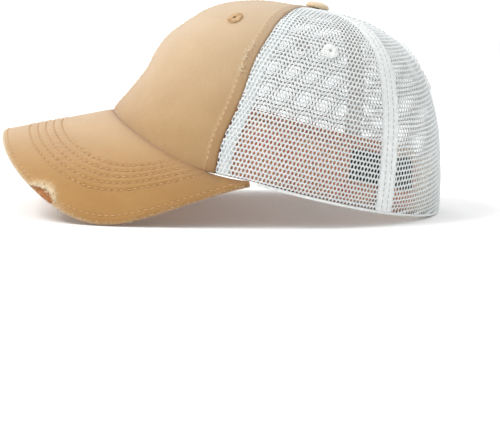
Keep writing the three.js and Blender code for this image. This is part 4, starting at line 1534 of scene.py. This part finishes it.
bm = bmesh.new()
for side in (1, -1):
    bottom = float(t_at_height(low_edge(np.array(side * SIDE_SEAM))))
    for beside in (-NET_ROW_BESIDE, NET_ROW_BESIDE):
        sew(bm, *seam_row(side * SIDE_SEAM, beside, bottom, row_top, 0.2 * MM))
        sew(bm, *seam_row(math.pi, beside, 0.0, below_opening, 0.2 * MM))
        sew(bm, *seam_row(math.pi, beside, above_opening, row_top, 0.2 * MM))
turn = np.linspace(0, math.tau, 300)
ring = opening_place(
    (OPENING_WIDTH / 2 - 0.2 * MM) * np.cos(turn), (OPENING_LENGTH / 2 - 0.2 * MM) * np.sin(turn)
)
sew(bm, crown_offset(*ring, BINDING_HALF_HEIGHT - NET_WALL / 2), crown_normal(*ring))
finish_stitches("net_seam_stitching", bm, seam_thread)


def visor_row(distance, depth):
    """A line on the visor that keeps a distance from its edge and stops short of the crown."""
    from_edge = distance / EDGE_SLANT
    kept = (from_edge < LINE_LENGTH - 3 * MM) & (torn_back(SHARES) < distance - 1.5 * MM)
    across, along = visor_lines(SHARES[kept], from_edge[kept])
    out = visor_normal(across, along)
    return visor_point(across, along, np.full(len(across), depth)), out


quilting_thread = thread_finish("pale quilting thread", QUILTING_LIGHT, QUILTING_DARK)
for name, depth in (("visor_quilting", QUILT_DEPTH), ("lining_quilting", VISOR_THICK - QUILT_DEPTH)):
    bm = bmesh.new()
    for distance in [EDGE_ROW, *STITCH_ROWS]:
        sew(bm, *visor_row(distance, depth), STITCH_LENGTH, QUILT_GAP, QUILT_RADIUS)
    finish_stitches(name, bm, quilting_thread)

bm = bmesh.new()
band_angle = np.linspace(-BAND_END, BAND_END, 900)
for height, lift in (
    (BAND_HEIGHT - BAND_SEAM_IN, -BAND_DEPTH - 0.3 * MM),
    (BAND_SEAM_UP, -BAND_DEPTH + 0.1 * MM),
):
    t = t_at_height(low_edge(band_angle) + height)
    sew(bm, crown_offset(band_angle, t, lift), crown_normal(band_angle, t))
finish_stitches("sweatband_stitching", bm, cotton_thread)

# Frays: loose cotton fibres at the torn strip, along the rubbed edge of the visor and over the
# broken topstitching of the left front seam.
FIBRE_RADIUS = 0.1 * MM
FIBRE_POINTS = 4
TORN_FIBRES = 180
EDGE_FIBRES = 560
CREAM_FIBRE = colour(248, 236, 210)
fibre_chance = np.random.default_rng(12)


def fibre_mesh(roots, ways, lengths, sag):
    """Thin tapered fibres that wander a little from their way and sag."""
    curve = bpy.data.curves.new("fibres", "CURVE")
    curve.dimensions = "3D"
    curve.bevel_depth = FIBRE_RADIUS
    curve.bevel_resolution = 0
    curve.use_fill_caps = True
    for root, way, length in zip(roots, ways, lengths):
        spline = curve.splines.new("POLY")
        spline.points.add(FIBRE_POINTS - 1)
        wander = fibre_chance.normal(0, 0.22, 3)
        for i, point in enumerate(spline.points):
            share = i / (FIBRE_POINTS - 1)
            bent = way * share + wander * share**2 + np.array([0, 0, -sag]) * share**2
            point.co = (*(root + length * bent), 1)
            point.radius = 1.15 - 0.75 * share
    holder = bpy.data.objects.new("fibres", curve)
    bpy.context.scene.collection.objects.link(holder)
    graph = bpy.context.evaluated_depsgraph_get()
    mesh = bpy.data.meshes.new_from_object(holder.evaluated_get(graph), depsgraph=graph)
    bpy.data.objects.remove(holder)
    mesh.materials.clear()
    return mesh


def visor_fibres(shares, from_edge, out_share, lengths):
    """Fibres that grow from the visor's cover and lean out over its edge."""
    across, along = visor_lines(shares, from_edge)
    roots = visor_point(across, along, np.full(len(shares), 0.2 * MM))
    edge_across, edge_along = visor_lines(shares, from_edge - 1 * MM)
    ways = visor_point(edge_across, edge_along, np.full(len(shares), 0.2 * MM)) - roots
    ways /= np.linalg.norm(ways, axis=1, keepdims=True)
    ways = ways * out_share + visor_normal(across, along) * (1 - out_share)
    ways += fibre_chance.normal(0, 0.3, ways.shape)
    return roots, ways, lengths


fibre_cotton = thread_finish("loose cream fibre", CREAM_FIBRE, WORN_COTTON)
torn_shares = fibre_chance.uniform(tear_ends[0], tear_ends[1], TORN_FIBRES)
torn_edge = torn_back(torn_shares) + fibre_chance.uniform(-0.2, 1.6, TORN_FIBRES) * MM
finish_piece(
    "torn_strip_fibres",
    fibre_mesh(
        *visor_fibres(
            torn_shares, torn_edge, 0.7, fibre_chance.uniform(0.5, 1.9, TORN_FIBRES) * MM
        ),
        0.25,
    ),
    fibre_cotton,
)
edge_shares = fibre_chance.uniform(-0.98, 0.98, EDGE_FIBRES)
finish_piece(
    "visor_edge_fibres",
    fibre_mesh(
        *visor_fibres(
            edge_shares,
            fibre_chance.uniform(0.1, 1.2, EDGE_FIBRES) * MM,
            0.6,
            fibre_chance.uniform(0.3, 0.9, EDGE_FIBRES) * MM,
        ),
        0.1,
    ),
    fibre_cotton,
)
FRAY_HEIGHTS = (57 * MM, 60 * MM, 66 * MM, 70 * MM, 73 * MM)  # tufts on the left front seam
FRAYS_IN_TUFT = 26
fray_count = FRAYS_IN_TUFT * len(FRAY_HEIGHTS)
fray_height = np.repeat(FRAY_HEIGHTS, FRAYS_IN_TUFT) + fibre_chance.normal(0, 0.9, fray_count) * MM
fray_t = t_at_height(fray_height)
fray_in = TOPSTITCH_IN + fibre_chance.normal(-0.2, 0.5, fray_count) * MM
fray_angle = FRONT_SEAM - fray_in / crown_girth(FRONT_SEAM, fray_t)
fray_out = crown_normal(fray_angle, fray_t)
fray_way = 0.3 * fray_out + fibre_chance.normal(0, 0.5, (fray_count, 3))
finish_piece(
    "front_seam_fibres",
    fibre_mesh(
        crown_offset(fray_angle, fray_t, 0.2 * MM),
        fray_way,
        fibre_chance.uniform(1.2, 3.2, fray_count) * MM,
        0.2,
    ),
    fibre_cotton,
)
